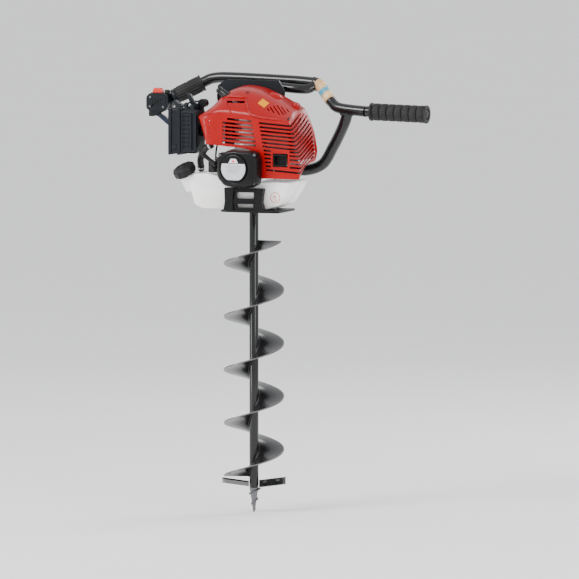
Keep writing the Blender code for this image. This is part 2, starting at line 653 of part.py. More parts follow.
def make_gearbox():
    low, high = (-0.0360, -0.0400, 0.8330), (0.0520, 0.0400, 0.8890)
    item = block("gearbox_housing", low, high, "cast_aluminium", 0.003)
    boolean(item, turned_mesh([(0.0262, 0.8480), (0.0262, 0.9)], (0, 0, 0), UP, 36))
    boolean(item, block_mesh((0.0195, -0.0300, 0.8480), (0.0450, 0.0360, 0.9000)))
    boolean(item, turned_mesh([(0.0064, -0.05), (0.0064, 0.0)], CRANK, ALONG_Y, 20))
    boolean(item, turned_mesh([(0.0096, 0.8200), (0.0096, 0.8500)], (0, 0, 0), UP, 24))
    item = block("gearbox_lid", (-0.0360, -0.0400, 0.8893), (0.0520, 0.0400, 0.9000), "cast_aluminium", 0.002)
    boolean(item, turned_mesh([(0.0096, 0.88), (0.0096, 0.8968)], (0, 0, 0), UP, 24))


# ---------------------------------------------------------------- frame and controls

def make_frame():
    tube("top_bar", [(-0.2070, -0.0045, 1.0185), (-0.1450, 0.0200, 1.0520), (-0.1150, 0.0285, 1.0640),
                     (-0.0600, 0.0300, 1.0660), (0.0900, 0.0300, 1.0620), (0.1450, 0.0280, 1.0590)],
         TUBE_RADIUS, "black_paint", per_span=3)
    tube("right_arm", [(0.1482, 0.0279, 1.0588), (0.1540, 0.0274, 1.0583), (0.1690, 0.0220, 1.0500),
                       (0.1850, 0.0120, 1.0340), (0.2060, 0.0000, 1.0140), (0.2300, -0.0100, 1.0010),
                       (0.2980, -0.0200, 0.9954), (0.3170, -0.0200, 0.9950), (0.4600, -0.0200, 0.9920)],
         TUBE_RADIUS, "black_paint", per_span=3)
    tube("hip_bar", [(-0.0030, 0.0020, 1.0500), (0.0600, 0.0020, 1.0480), (0.1250, 0.0020, 1.0455)],
         0.0125, "black_paint", per_span=3)
    tube("lower_brace", [(0.2500, -0.0130, 0.9800), (0.2440, -0.0110, 0.9640), (0.2270, 0.0000, 0.9380),
                         (0.2050, 0.0120, 0.9050), (0.1720, 0.0230, 0.8580), (0.1250, 0.0220, 0.8420),
                         (0.0850, 0.0140, 0.8530), (0.0548, 0.0110, 0.8560)],
         0.0145, "black_paint", per_span=3)
    outline = [(-0.060, 0.9005), (0.075, 0.9005), (0.092, 0.930), (0.095, 1.040), (0.080, 1.066),
               (-0.060, 1.066), (-0.082, 1.050), (-0.070, 0.930)]
    item = prism("back_plate", outline, -0.0345, -0.0300, "blue_black_plastic")
    boolean(item, block_mesh((-0.050, -0.0310, 1.0500), (-0.030, 0.0155, 1.0620)), 'UNION')
    boolean(item, block_mesh((0.040, -0.0310, 1.0400), (0.060, -0.0112, 1.0560)), 'UNION')


def make_grips():
    start, end = Vector((-0.1440, 0.0203, 1.0523)), Vector((-0.2030, -0.0030, 1.0205))
    length = (end - start).length
    profile = [(0.0141, 0.0), (0.0215, 0.0), (0.0215, 0.005), (0.0190, 0.006), (0.0185, length),
               (0.0141, length)]
    turned("left_grip", profile, start, end - start, "grip_rubber", 24, closed=True)
    start, direction = Vector((0.3170, -0.0200, 0.9950)), Vector((0.1430, 0.0, -0.0030))
    profile = [(0.0143, 0.0), (0.0225, 0.0), (0.0225, 0.005), (0.0200, 0.006), (0.0200, 0.141),
               (0.0225, 0.142), (0.0225, 0.147), (0.0143, 0.147)]
    turned("right_grip", profile, start, direction, "grip_rubber", 20, closed=True)


THROTTLE_PIVOT = Vector((-0.2580, -0.0130, 0.9760))


def make_throttle():
    item = block("throttle_housing", (-0.2720, -0.0340, 0.9840), (-0.2130, 0.0080, 1.0270),
                 "black_plastic", 0.005)
    boolean(item, turned_mesh([(0.0074, 1.0220), (0.0074, 1.0400)], (-0.2240, -0.0140, 0), UP, 18))
    outline = [(-0.2660, 0.9830), (-0.2540, 0.9825), (-0.2300, 0.9700), (-0.2100, 0.9520), (-0.2130, 0.9450),
               (-0.2240, 0.9500), (-0.2480, 0.9690), (-0.2660, 0.9720)]
    prism("throttle_trigger", outline, -0.0190, -0.0070, "black_plastic", origin=THROTTLE_PIVOT)
    block("stop_switch", (-0.2600, -0.0230, 1.0273), (-0.2360, -0.0050, 1.0390), "red_plastic", 0.002)
    turned("trigger_lock", [(0.0070, 1.0273), (0.0070, 1.0330), (0.0055, 1.0350)], (-0.2240, -0.0140, 0), UP,
           "black_plastic", 18)
    tube("throttle_cable", [(-0.2110, -0.0280, 0.9920), (-0.1850, -0.0420, 0.9900), (-0.1450, -0.0620, 1.0080),
                            (-0.1150, -0.0780, 1.0130), (-0.0905, -0.0885, 1.0110)], 0.0025,
         "black_plastic", per_span=4, resolution=2)


def main():
    clear_scene()
    for make in (make_pilot_screw, make_bit_shaft, make_flight, make_coupling, make_worm_wheel, make_worm,
                 make_clutch, make_crank, make_flywheel, make_piston_set, make_crankcase, make_cylinder,
                 make_spark_plug, make_housings, make_starter, make_pull_handle, make_intake,
                 make_air_cleaner, make_choke_and_clip, make_exhaust, make_top_cover, make_tank, make_stand,
                 make_fuel_parts, make_gearbox, make_frame, make_grips, make_throttle):
        make()
    make_cutter("cutter_left", FLIGHT_START_ANGLE, 0.069, 0.078)
    make_cutter("cutter_right", FLIGHT_START_ANGLE - math.pi, 0.069, 0.077)


main()
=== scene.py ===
import json
import math

import bmesh
import bpy
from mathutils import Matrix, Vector
from mathutils.bvhtree import BVHTree

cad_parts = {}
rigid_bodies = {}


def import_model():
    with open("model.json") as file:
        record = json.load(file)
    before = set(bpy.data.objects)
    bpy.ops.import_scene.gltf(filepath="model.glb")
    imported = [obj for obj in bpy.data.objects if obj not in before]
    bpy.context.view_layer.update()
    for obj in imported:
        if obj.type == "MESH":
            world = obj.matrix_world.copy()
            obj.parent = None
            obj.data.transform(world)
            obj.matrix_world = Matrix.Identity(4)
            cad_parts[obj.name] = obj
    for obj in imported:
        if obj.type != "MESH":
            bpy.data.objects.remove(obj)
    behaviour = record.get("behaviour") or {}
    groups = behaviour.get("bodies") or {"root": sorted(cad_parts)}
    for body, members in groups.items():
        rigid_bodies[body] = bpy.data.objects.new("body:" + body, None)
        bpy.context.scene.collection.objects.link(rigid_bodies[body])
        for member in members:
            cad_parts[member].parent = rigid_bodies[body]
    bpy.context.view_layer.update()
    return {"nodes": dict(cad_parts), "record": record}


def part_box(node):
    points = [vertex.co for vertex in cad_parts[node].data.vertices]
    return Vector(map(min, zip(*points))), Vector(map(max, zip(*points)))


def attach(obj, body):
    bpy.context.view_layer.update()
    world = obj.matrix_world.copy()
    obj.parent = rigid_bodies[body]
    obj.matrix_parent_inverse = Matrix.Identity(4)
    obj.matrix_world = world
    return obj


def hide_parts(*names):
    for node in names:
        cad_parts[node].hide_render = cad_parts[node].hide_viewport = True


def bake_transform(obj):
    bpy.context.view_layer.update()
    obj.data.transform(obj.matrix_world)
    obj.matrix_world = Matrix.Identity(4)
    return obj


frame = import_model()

up, alongX, alongY = Vector((0, 0, 1)), Vector((1, 0, 0)), Vector((0, 1, 0))
ownerOf = {item["node"]: None for item in frame["record"]["subparts"]}
for bodyName, members in frame["record"]["behaviour"]["bodies"].items():
    for member in members:
        ownerOf[member] = bodyName
slotOf = {item["node"]: item["material_slot"] for item in frame["record"]["subparts"]}


# Shader maths: one wrapped socket, with operators that add Math nodes

class Wire:
    def __init__(self, maker, socket):
        self.maker = maker
        self.socket = socket

    def join(self, operation, other, swap=False):
        first, second = (other, self) if swap else (self, other)
        return self.maker.node("ShaderNodeMath", {"operation": operation}, {0: first, 1: second})

    def __add__(self, other): return self.join("ADD", other)
    def __radd__(self, other): return self.join("ADD", other, True)
    def __sub__(self, other): return self.join("SUBTRACT", other)
    def __rsub__(self, other): return self.join("SUBTRACT", other, True)
    def __mul__(self, other): return self.join("MULTIPLY", other)
    def __rmul__(self, other): return self.join("MULTIPLY", other, True)
    def __pow__(self, other): return self.join("POWER", other)

    def clamp(self):
        return self.maker.node("ShaderNodeClamp", {}, {"Value": self}, "Result")


# A node tree under construction
class Graph:
    def __init__(self, tree):
        self.tree = tree

    def node(self, kind, settings, values, output=0):
        made = self.tree.nodes.new(kind)
        for key, value in settings.items():
            setattr(made, key, value)
        for key, value in values.items():
            if isinstance(value, Wire):
                self.tree.links.new(value.socket, made.inputs[key])
            else:
                made.inputs[key].default_value = value
        return Wire(self, made.outputs[output])


# A material under construction
class Maker(Graph):
    def __init__(self, name, **fixed):
        self.material = bpy.data.materials.new(name)
        self.material.use_nodes = True
        super().__init__(self.material.node_tree)
        self.shader = self.tree.nodes["Principled BSDF"]
        self.coords = self.node("ShaderNodeTexCoord", {}, {}, "Object")
        for socket, value in fixed.items():
            self.shader.inputs[socket.replace("_", " ")].default_value = value

    def noise(self, scale, detail=3.0, roughness=0.55, coords=None):
        values = {"Vector": coords or self.coords, "Scale": scale, "Detail": detail, "Roughness": roughness}
        return self.node("ShaderNodeTexNoise", {}, values, "Fac")

    def cells(self, scale):
        return self.node("ShaderNodeTexVoronoi", {}, {"Vector": self.coords, "Scale": scale}, "Distance")

    def stretched(self, x, y, z):
        return self.node("ShaderNodeMapping", {}, {"Vector": self.coords, "Scale": (x, y, z)})

    def ramp(self, value, low, high):
        return self.node("ShaderNodeMapRange", {"interpolation_type": "SMOOTHSTEP"},
            {"Value": value, "From Min": low, "From Max": high}, "Result")

    def mix(self, amount, first, second):
        made = self.tree.nodes.new("ShaderNodeMix")
        made.data_type = "RGBA"
        for key, value in ((0, amount), (6, first), (7, second)):
            if isinstance(value, Wire):
                self.tree.links.new(value.socket, made.inputs[key])
            else:
                made.inputs[key].default_value = value if key == 0 else (*value, 1.0)
        return Wire(self, made.outputs[2])

    # About 1 on convex edges, where wear shows
    def edges(self, width):
        point = self.node("ShaderNodeNewGeometry", {}, {}, "Pointiness")
        return self.ramp(point, 0.5 + 0.035 / width, 0.5 + 0.12 / width)

    # The three object coordinates
    def parts(self):
        made = self.tree.nodes.new("ShaderNodeSeparateXYZ")
        self.tree.links.new(self.coords.socket, made.inputs[0])
        return [Wire(self, made.outputs[i]) for i in range(3)]

    def give(self, **links):
        for socket, wire in links.items():
            self.tree.links.new(wire.socket, self.shader.inputs[socket.replace("_", " ")])

    def bump(self, height, strength=0.3, distance=0.001):
        made = self.node("ShaderNodeBump", {}, {"Height": height, "Strength": strength,
            "Distance": distance})
        self.give(Normal=made)
        return self.material


# Shapes: every helper returns a bmesh in world coordinates

def sideAxes(direction):
    direction = Vector(direction).normalized()
    helper = up if abs(direction.z) < 0.9 else alongX
    first = helper.cross(direction).normalized()
    return first, direction.cross(first)


def loft(rings, closed=False, capped=True):
    bm = bmesh.new()
    rows = [[bm.verts.new(point) for point in ring] for ring in rings]
    pairs = list(zip(rows, rows[1:])) + ([(rows[-1], rows[0])] if closed else [])
    for lower, upper in pairs:
        for i in range(len(lower)):
            j = (i + 1) % len(lower)
            bm.faces.new((lower[i], lower[j], upper[j], upper[i]))
    if capped and not closed:
        bm.faces.new(list(reversed(rows[0])))
        bm.faces.new(rows[-1])
    bmesh.ops.recalc_face_normals(bm, faces=bm.faces)
    return bm


def lathe(profile, centre, direction, sides=48, closed=False):
    centre, direction = Vector(centre), Vector(direction).normalized()
    first, second = sideAxes(direction)
    spin = [2 * math.pi * i / sides for i in range(sides)]
    return loft([[centre + direction * along + (first * math.cos(a) + second * math.sin(a)) * radius
        for a in spin] for radius, along in profile], closed)


def box(low, high):
    low, high = Vector(low), Vector(high)
    bm = bmesh.new()
    bmesh.ops.create_cube(bm, size=1.0)
    bmesh.ops.scale(bm, vec=high - low, verts=bm.verts)
    bmesh.ops.translate(bm, vec=(low + high) / 2, verts=bm.verts)
    return bm


# Extrude a flat outline between two heights on an axis
def plate(outline, low, high, axis="y"):
    place = {"x": lambda a, b, h: (h, a, b), "y": lambda a, b, h: (a, h, b), "z": lambda a, b,
        h: (a, b, h)}[axis]
    return loft([[Vector(place(a, b, height)) for a, b in outline] for height in (low, high)])


def arc(x, z, radius, start, end, steps=6):
    turn = [math.radians(start + (end - start) * i / steps) for i in range(steps + 1)]
    return [(x + radius * math.cos(a), z + radius * math.sin(a)) for a in turn]


def roundRect(x0, z0, x1, z1, radius, steps=5):
    return (arc(x1 - radius, z0 + radius, radius, -90, 0, steps) + arc(x1 - radius, z1 - radius, radius, 0,
        90, steps) + arc(x0 + radius, z1 - radius, radius, 90, 180, steps)
        + arc(x0 + radius, z0 + radius, radius, 180, 270, steps))


def smoothPath(points, perSpan=8):
    points = [Vector(p) for p in points]
    ends = [2 * points[0] - points[1]] + points + [2 * points[-1] - points[-2]]
    path = []
    for a, b, c, d in zip(ends, ends[1:], ends[2:], ends[3:]):
        for i in range(perSpan):
            t = i / perSpan
            path.append(0.5 * (2 * b + (c - a) * t + (2 * a - 5 * b + 4 * c - d) * t * t
                + (3 * b - a - 3 * c + d) * t ** 3))
    return path + [points[-1]]


# A round tube along a path, with flat closed ends
def sweep(path, radius, sides=24, radiusAt=None):
    rings, side = [], None
    for i, point in enumerate(path):
        ahead = (path[min(i + 1, len(path) - 1)] - path[max(i - 1, 0)]).normalized()
        side = sideAxes(ahead)[0] if side is None else (side - ahead * side.dot(ahead)).normalized()
        other = ahead.cross(side)
        r = radiusAt(i / (len(path) - 1)) if radiusAt else radius
        rings.append([point + (side * math.cos(a) + other * math.sin(a)) * r
            for a in (2 * math.pi * k / sides for k in range(sides))])
    return loft(rings)


# Several closed bodies in one mesh
def merge(*meshes):
    whole = bmesh.new()
    for bm in meshes:
        part = bpy.data.meshes.new("part")
        bm.to_mesh(part)
        whole.from_mesh(part)
        bpy.data.meshes.remove(part)
    return whole


def piece(name, bm, material, body="root", bevel=0.0, segments=2, smooth=40, levels=0):
    mesh = bpy.data.meshes.new(name)
    bm.to_mesh(mesh)
    bm.free()
    mesh.shade_smooth()
    mesh.set_sharp_from_angle(angle=math.radians(smooth))
    made = bpy.data.objects.new(name, mesh)
    bpy.context.scene.collection.objects.link(made)
    mesh.materials.append(material)
    if levels:
        smoother = made.modifiers.new("smooth", "SUBSURF")
        smoother.levels = smoother.render_levels = levels
    if bevel:
        edge = made.modifiers.new("edge", "BEVEL")
        edge.width, edge.segments = bevel, segments
        edge.limit_method, edge.angle_limit = "ANGLE", math.radians(32)
        edge.harden_normals = True
    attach(made, body)
    return made


# A detailed piece that takes the place of a CAD node
def stand(name, bm, material, node, **more):
    made = piece(name, bm, material, ownerOf[node], **more)
    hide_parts(node)
    return made


# Turn a piece's modifiers into plain mesh
def settle(made):
    bpy.context.view_layer.update()
    result = bpy.data.meshes.new_from_object(made.evaluated_get(bpy.context.evaluated_depsgraph_get()))
    made.modifiers.clear()
    made.data = result
    return made


# Cut the tools out of a mesh, or join them to it, and hand back the result
def carve(bm, tools, operation="DIFFERENCE"):
    body = looseObject(bm)
    helper = looseObject(tools)
    change = body.modifiers.new("carve", "BOOLEAN")
    change.operation, change.solver, change.object = operation, "MANIFOLD", helper
    settle(body)
    result = bmesh.new()
    result.from_mesh(body.data)
    for spare in (body, helper):
        bpy.data.objects.remove(spare, do_unlink=True)
    return result


def looseObject(bm):
    mesh = bpy.data.meshes.new("loose")
    bm.to_mesh(mesh)
    bm.free()
    made = bpy.data.objects.new("loose", mesh)
    bpy.context.scene.collection.objects.link(made)
    return made


# Geometry nodes: named inputs, fixed rules, plain mesh at the end

class Grower(Graph):
    def __init__(self, name, **inputs):
        kinds = {float: "NodeSocketFloat", int: "NodeSocketInt", tuple: "NodeSocketVector",
            bpy.types.Material: "NodeSocketMaterial", bpy.types.Object: "NodeSocketObject"}
        super().__init__(bpy.data.node_groups.new(name, "GeometryNodeTree"))
        face = self.tree.interface
        self.names = {key: face.new_socket(key, in_out="INPUT", socket_type=kinds[type(value)]).identifier
            for key, value in inputs.items()}
        face.new_socket("Geometry", in_out="OUTPUT", socket_type="NodeSocketGeometry")
        self.values = inputs
        source = self.tree.nodes.new("NodeGroupInput")
        self.inputs = {key: Wire(self, source.outputs[key]) for key in inputs}

    # Send the result out, and grow it into a plain object
    def finish(self, geometry):
        painted = self.node("GeometryNodeSetMaterial", {}, {"Geometry": geometry,
            "Material": self.inputs["Material"]})
        smooth = self.node("GeometryNodeSetShadeSmooth", {}, {"Geometry": painted})
        target = self.tree.nodes.new("NodeGroupOutput")
        self.tree.links.new(smooth.socket, target.inputs[0])
        return self

    def grow(self, name, angle=35, **changes):
        made = bpy.data.objects.new(name, bpy.data.meshes.new(name))
        bpy.context.scene.collection.objects.link(made)
        growth = made.modifiers.new("grow", "NODES")
        growth.node_group = self.tree
        for key, value in {**self.values, **changes}.items():
            growth[self.names[key]] = value
        settle(made)
        made.data.set_sharp_from_angle(angle=math.radians(angle))
        return made


# Copies of one object along a straight row
def rowGrower():
    g = Grower("row", Count=4, Start=(0.0, 0.0, 0.0), Step=(0.0, 0.0, 0.01), Item=bpy.data.objects[0],
        Material=black)
    line = g.node("GeometryNodeMeshLine", {"mode": "OFFSET"}, {"Count": g.inputs["Count"], "Start Location":
        g.inputs["Start"], "Offset": g.inputs["Step"]})
    item = g.node("GeometryNodeObjectInfo", {}, {"Object": g.inputs["Item"]}, "Geometry")
    copies = g.node("GeometryNodeInstanceOnPoints", {}, {"Points": line, "Instance": item})
    return g.finish(g.node("GeometryNodeRealizeInstances", {}, {"Geometry": copies}))


# A row of closed shapes, each drawn about the origin
def row(name, bm, material, count, start, step, body="root"):
    seed = looseObject(bm)
    made = rows.grow(name, Count=count, Start=tuple(start), Step=tuple(step), Item=seed, Material=material)
    bpy.data.objects.remove(seed, do_unlink=True)
    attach(made, body)
    return made


def bmeshOf(made):
    bm = bmesh.new()
    bm.from_mesh(made.data)
    return bm


# Materials

# Injection-moulded plastic: fine grain, slow colour drift, faint dust on upward faces, paler edges
def moulded(name, color, roughness=0.35, coat=0.0, grain=900.0, depth=0.12, dust=0.25, pale=0.04,
        gloss=1.32):
    m = Maker(name, IOR=gloss, Coat_Roughness=0.12)
    drift = m.noise(9.0, 3.0)
    smudge = m.ramp(m.noise(34.0, 5.0, 0.65), 0.45, 0.75)
    facing = m.node("ShaderNodeSeparateXYZ", {}, {0: m.node("ShaderNodeNewGeometry", {}, {}, "Normal")}, 2)
    settled = (facing.clamp() * m.ramp(m.noise(160.0, 6.0, 0.7), 0.35, 0.8) * dust).clamp()
    light = tuple(min(1.0, c * 1.25 + pale * 0.5) for c in color)
    dark = tuple(c * 0.86 for c in color)
    body = m.mix(drift, dark, tuple(min(1.0, c * 1.1) for c in color))
    body = m.mix(m.edges(0.6) * 0.3, body, light)
    body = m.mix(settled * 0.35, body, (0.3, 0.28, 0.26))
    m.give(Base_Color=body, Roughness=(smudge * 0.12 + settled * 0.35 + roughness).clamp())
    if coat:
        m.shader.inputs["Coat Weight"].default_value = coat
    orange = m.noise(grain, 2.0, 0.5) * 0.6 + m.noise(grain * 0.12, 2.0) * 0.4
    return m.bump(orange, depth, 0.0006)


# Glossy paint over steel, chipped at the edges and lightly scratched
def painted(name, color, roughness=0.22, wear=0.5, bare=(0.3, 0.3, 0.31), orange=0.18):
    m = Maker(name, IOR=1.35, Coat_Weight=0.35, Coat_Roughness=0.08)
    flow = m.noise(120.0, 3.0)
    scratch = m.ramp(m.noise(260.0, 4.0, 0.7, m.stretched(1.0, 1.0, 0.06)), 0.62, 0.74)
    chip = (m.edges(0.7) * m.ramp(m.noise(420.0, 6.0, 0.75), 0.5, 0.62) * wear).clamp()
    body = m.mix(m.noise(14.0, 4.0), tuple(c * 0.8 for c in color), tuple(c * 1.3 + 0.004 for c in color))
    body = m.mix(scratch * 0.25, body, tuple(c * 2.2 + 0.05 for c in color))
    m.give(Base_Color=m.mix(chip, body, bare), Metallic=chip * 0.8,
        Roughness=(scratch * 0.2 + chip * 0.2 + roughness + m.noise(30.0) * 0.06).clamp())
    return m.bump(flow * orange - chip * 0.6 - scratch * 0.1, 0.25, 0.0008)


# Bare metal: brushed where stretched, pitted where cast, with darker stains
def metal(name, color, roughness=0.3, stretch=(1, 1, 1), scale=500.0, stain=0.3, cast=0.0, rust=0.0):
    m = Maker(name, Metallic=1.0)
    brushed = m.noise(scale, 5.0, 0.7, m.stretched(*stretch))
    dull = m.ramp(m.noise(38.0, 5.0, 0.65), 0.4, 0.75)
    pits = m.cells(900.0 if cast else 1600.0)
    body = m.mix(dull * stain, color, tuple(c * 0.45 for c in color))
    body = m.mix(brushed * 0.25, body, tuple(min(1.0, c * 1.2) for c in color))
    body = m.mix(m.edges(0.6) * 0.5, body, tuple(min(1.0, c * 1.35) for c in color))
    if rust:
        patch = m.ramp(m.noise(85.0, 7.0, 0.75), 0.62, 0.72) * rust
        body = m.mix(patch, body, (0.16, 0.06, 0.025))
        m.give(Metallic=1.0 - patch * 0.9)
        dull = (dull + patch * 2.0).clamp()
    m.give(Base_Color=body, Roughness=(brushed * 0.18 + dull * 0.2 + roughness).clamp())
    height = brushed * 0.3 + pits * cast + m.noise(240.0, 4.0) * cast
    return m.bump(height, 0.2 + cast * 0.25, 0.0006)


def rubbery(name, color, roughness=0.62, grain=700.0):
    m = Maker(name, IOR=1.35, Sheen_Weight=0.04)
    m.shader.inputs["Sheen Roughness"].default_value = 0.5
    bloom = m.ramp(m.noise(45.0, 5.0, 0.7), 0.45, 0.8)
    body = m.mix(bloom * 0.6, color, tuple(c * 1.6 + 0.012 for c in color))
    body = m.mix(m.edges(0.7) * 0.2, body, tuple(c * 2.0 + 0.01 for c in color))
    m.give(Base_Color=body, Roughness=(bloom * 0.15 + roughness).clamp())
    return m.bump(m.noise(grain, 4.0, 0.6) + m.cells(grain * 0.8) * 0.3, 0.25, 0.0006)


# Milky blow-moulded tank: fuel shows as a slightly darker lower part
def tankPlastic():
    m = Maker("tankPlastic", IOR=1.5, Subsurface_Weight=0.35, Subsurface_Scale=0.02)
    m.shader.inputs["Subsurface Radius"].default_value = (1.0, 0.95, 0.85)
    x, y, z = m.parts()
    wavy = m.noise(16.0, 3.0)
    fuel = m.ramp(z * -1.0 + wavy * 0.002, -0.789, -0.787)
    streak = m.ramp(m.noise(60.0, 5.0, 0.6, m.stretched(1.0, 1.0, 0.25)), 0.45, 0.8)
    body = m.mix(wavy, (0.88, 0.88, 0.87), (0.95, 0.95, 0.94))
    body = m.mix(fuel * 0.18, body, (0.74, 0.66, 0.48))
    body = m.mix(streak * 0.14, body, (0.7, 0.69, 0.66))
    m.give(Base_Color=body, Roughness=(streak * 0.12 + m.noise(200.0) * 0.08 + 0.24).clamp())
    return m.bump(m.noise(38.0, 4.0) * 0.7 + m.noise(800.0, 2.0) * 0.3, 0.22, 0.0012)


# Grey baked paint, rubbed bare near the rim and scored round the shaft
def flightPaint():
    m = Maker("flightPaint", IOR=1.38, Coat_Weight=0.15, Coat_Roughness=0.2)
    x, y, z = m.parts()
    radius = (x * x + y * y) ** 0.5
    rings = m.node("ShaderNodeTexNoise", {"noise_dimensions": "1D"},
        {"W": radius * 1600.0 + m.noise(3.0) * 1.2, "Scale": 1.0, "Detail": 4.0}, "Fac")
    low = m.ramp(z * -1.0, -0.3, -0.07)
    rubbed = (m.ramp(radius + m.noise(90.0, 6.0, 0.75) * 0.01, 0.0745, 0.0805)
        + m.ramp(m.noise(55.0, 7.0, 0.75), 0.64, 0.72) * (low * 0.5 + 0.05)).clamp()
    scored = m.ramp(rings, 0.56, 0.72) * (low * 0.5 + 0.3)
    body = m.mix(m.noise(11.0, 4.0), (0.0045, 0.0045, 0.005), (0.01, 0.01, 0.011))
    body = m.mix(scored * 0.35, body, (0.055, 0.055, 0.058))
    body = m.mix(rubbed, body, (0.16, 0.155, 0.15))
    m.give(Base_Color=body, Metallic=rubbed * 0.85, Roughness=(scored * 0.12 + rubbed * 0.08 + 0.27).clamp())
    return m.bump(rings * 0.25 - rubbed * 0.5 + m.noise(380.0, 3.0) * 0.2, 0.25, 0.0008)


def porcelain():
    m = Maker("porcelainGlaze", IOR=1.55, Coat_Weight=0.5)
    m.give(Base_Color=m.mix(m.noise(60.0), (0.78, 0.77, 0.74), (0.88, 0.87, 0.84)),
        Roughness=m.noise(200.0) * 0.1 + 0.12)
    return m.bump(m.noise(300.0), 0.05, 0.0004)


def foamRubber():
    m = Maker("filterFoam", Roughness=0.95)
    pores = m.cells(1100.0)
    m.give(Base_Color=m.mix(pores, (0.012, 0.012, 0.014), (0.075, 0.075, 0.08)))
    return m.bump(pores, 0.9, 0.0012)


# Twisted cord: slanting strands drawn from the coordinates along X
def ropeNylon():
    m = Maker("ropeNylon", Roughness=0.8, Sheen_Weight=0.3)
    x, y, z = m.parts()
    strands = m.node("ShaderNodeMath", {"operation": "SINE"}, {0: x * 2600.0 + (z + y) * 900.0}) * 0.5 + 0.5
    m.give(Base_Color=m.mix(strands, (0.1, 0.1, 0.105), (0.36, 0.36, 0.37)))
    return m.bump(strands + m.noise(1800.0) * 0.3, 0.7, 0.0008)


red = moulded("redPlastic", (0.32, 0.0004, 0.001), 0.28, coat=0.06, grain=420.0, depth=0.02, dust=0.05,
    pale=0.0)
black = moulded("blackPlastic", (0.0035, 0.0035, 0.004), 0.3, grain=900.0, depth=0.2)
blueBlack = moulded("blueBlackPlastic", (0.0045, 0.0065, 0.0095), 0.33, grain=1000.0, depth=0.22)
textured = moulded("texturedBlack", (0.007, 0.007, 0.008), 0.46, grain=420.0, depth=0.5)
switchRed = moulded("switchRed", (0.7, 0.045, 0.03), 0.36, grain=800.0)
greenish = moulded("greenBlackPlastic", (0.02, 0.026, 0.016), 0.4)
navy = moulded("navyPlastic", (0.01, 0.016, 0.034), 0.32)
tank = tankPlastic()
rubber = rubbery("gripRubber", (0.009, 0.009, 0.0085), 0.55)
hoseRubber = rubbery("hoseRubber", (0.007, 0.007, 0.0075), 0.28, 500.0)
blackPaint = painted("blackPaint", (0.0035, 0.0035, 0.004), 0.18, wear=0.05)
flight = flightPaint()
alloy = metal("castAlloy", (0.55, 0.55, 0.56), 0.42, scale=300.0, cast=0.6)
finMetal = metal("finAlloy", (0.66, 0.62, 0.6), 0.4, scale=300.0, cast=0.4, stain=0.2)
steel = metal("brightSteel", (0.52, 0.52, 0.53), 0.24, (1, 1, 6), 300.0)
darkSteel = metal("darkSteel", (0.17, 0.17, 0.18), 0.34, scale=420.0, rust=0.25)
exhaustSteel = metal("exhaustSteel", (0.1, 0.085, 0.08), 0.5, scale=200.0, stain=0.6, rust=0.4)
porcelainWhite = porcelain()
foam = foamRubber()
rope = ropeNylon()

slotMaterial = {"red_plastic": red, "black_plastic": black, "blue_black_plastic": blueBlack,
    "tank_plastic": tank,
    "grip_rubber": rubber, "black_paint": blackPaint, "cast_aluminium": alloy, "steel": steel,
    "flight_paint": flight, "foam": foam, "porcelain": porcelainWhite, "rope_nylon": rope}
special = {"pilot_screw": darkSteel, "muffler": exhaustSteel, "exhaust_outlet": black,
    "vent_hose": hoseRubber, "bit_shaft": blackPaint,
    "drive_coupling": blackPaint, "cylinder": finMetal, "plug_boot": hoseRubber, "cutter_left": flight,
    "cutter_right": flight}
for name, node in frame["nodes"].items():
    node.data.materials.clear()
    node.data.materials.append(special.get(name, slotMaterial[slotOf[name]]))
    node.data.shade_smooth()
    node.data.set_sharp_from_angle(angle=math.radians(35))
print("materials")
rows = rowGrower()


# Top cover

# The outer surface on the line from a centre through a point, lifted along its normal
def snap(tree, point, above=0.0, centre=(0.05, -0.09, 0.94)):
    inwards = (Vector(centre) - Vector(point)).normalized()
    place, normal, index, gap = tree.ray_cast(Vector(point) - inwards * 0.3, inwards)
    return place + normal * above, normal


def surfaceOf(bm):
    bm.faces.ensure_lookup_table()
    return BVHTree.FromBMesh(bm)


cover = {"rows": (-0.038, -0.075, -0.112, -0.161, -0.17), "shares": (0.0, 0.05, 0.12, 0.8, 1.0),
    "wall": 0.0025, "slot": 0.0046, "tilt": -0.07, "rearRise": 0.039, "pitch": 0.0094, "louvres": 13,
    "windowSlots": 7, "windowSlot": 0.005, "windowPitch": 0.0095, "holes": 5, "lowest": 0.8515,
    "boot": (-0.051, -0.11, 1.0478), "bootWay": (0.83, 0, -0.558)}
coverFront = [(0.19, 0.836), (0.19, 0.858), (0.177, 0.915), (0.162, 0.972), (0.136, 0.98), (0.1, 0.985),
    (0.066, 0.991), (0.02, 0.995), (-0.023, 1.0), (-0.048, 0.993), (-0.064, 0.981),
    (-0.061, 0.968), (-0.06, 0.916)]
coverRear = [(0.18, 0.872), (0.183, 0.898), (0.176, 0.948), (0.152, 0.999), (0.124, 1.015), (0.092, 1.031),
    (0.05, 1.048), (0.006, 1.0565), (-0.03, 1.048), (-0.054, 1.02), (-0.068, 0.994),
    (-0.066, 0.976), (-0.063, 0.921)]
coverFoot = [(0.079, 0.906), (0.079, 0.836)]


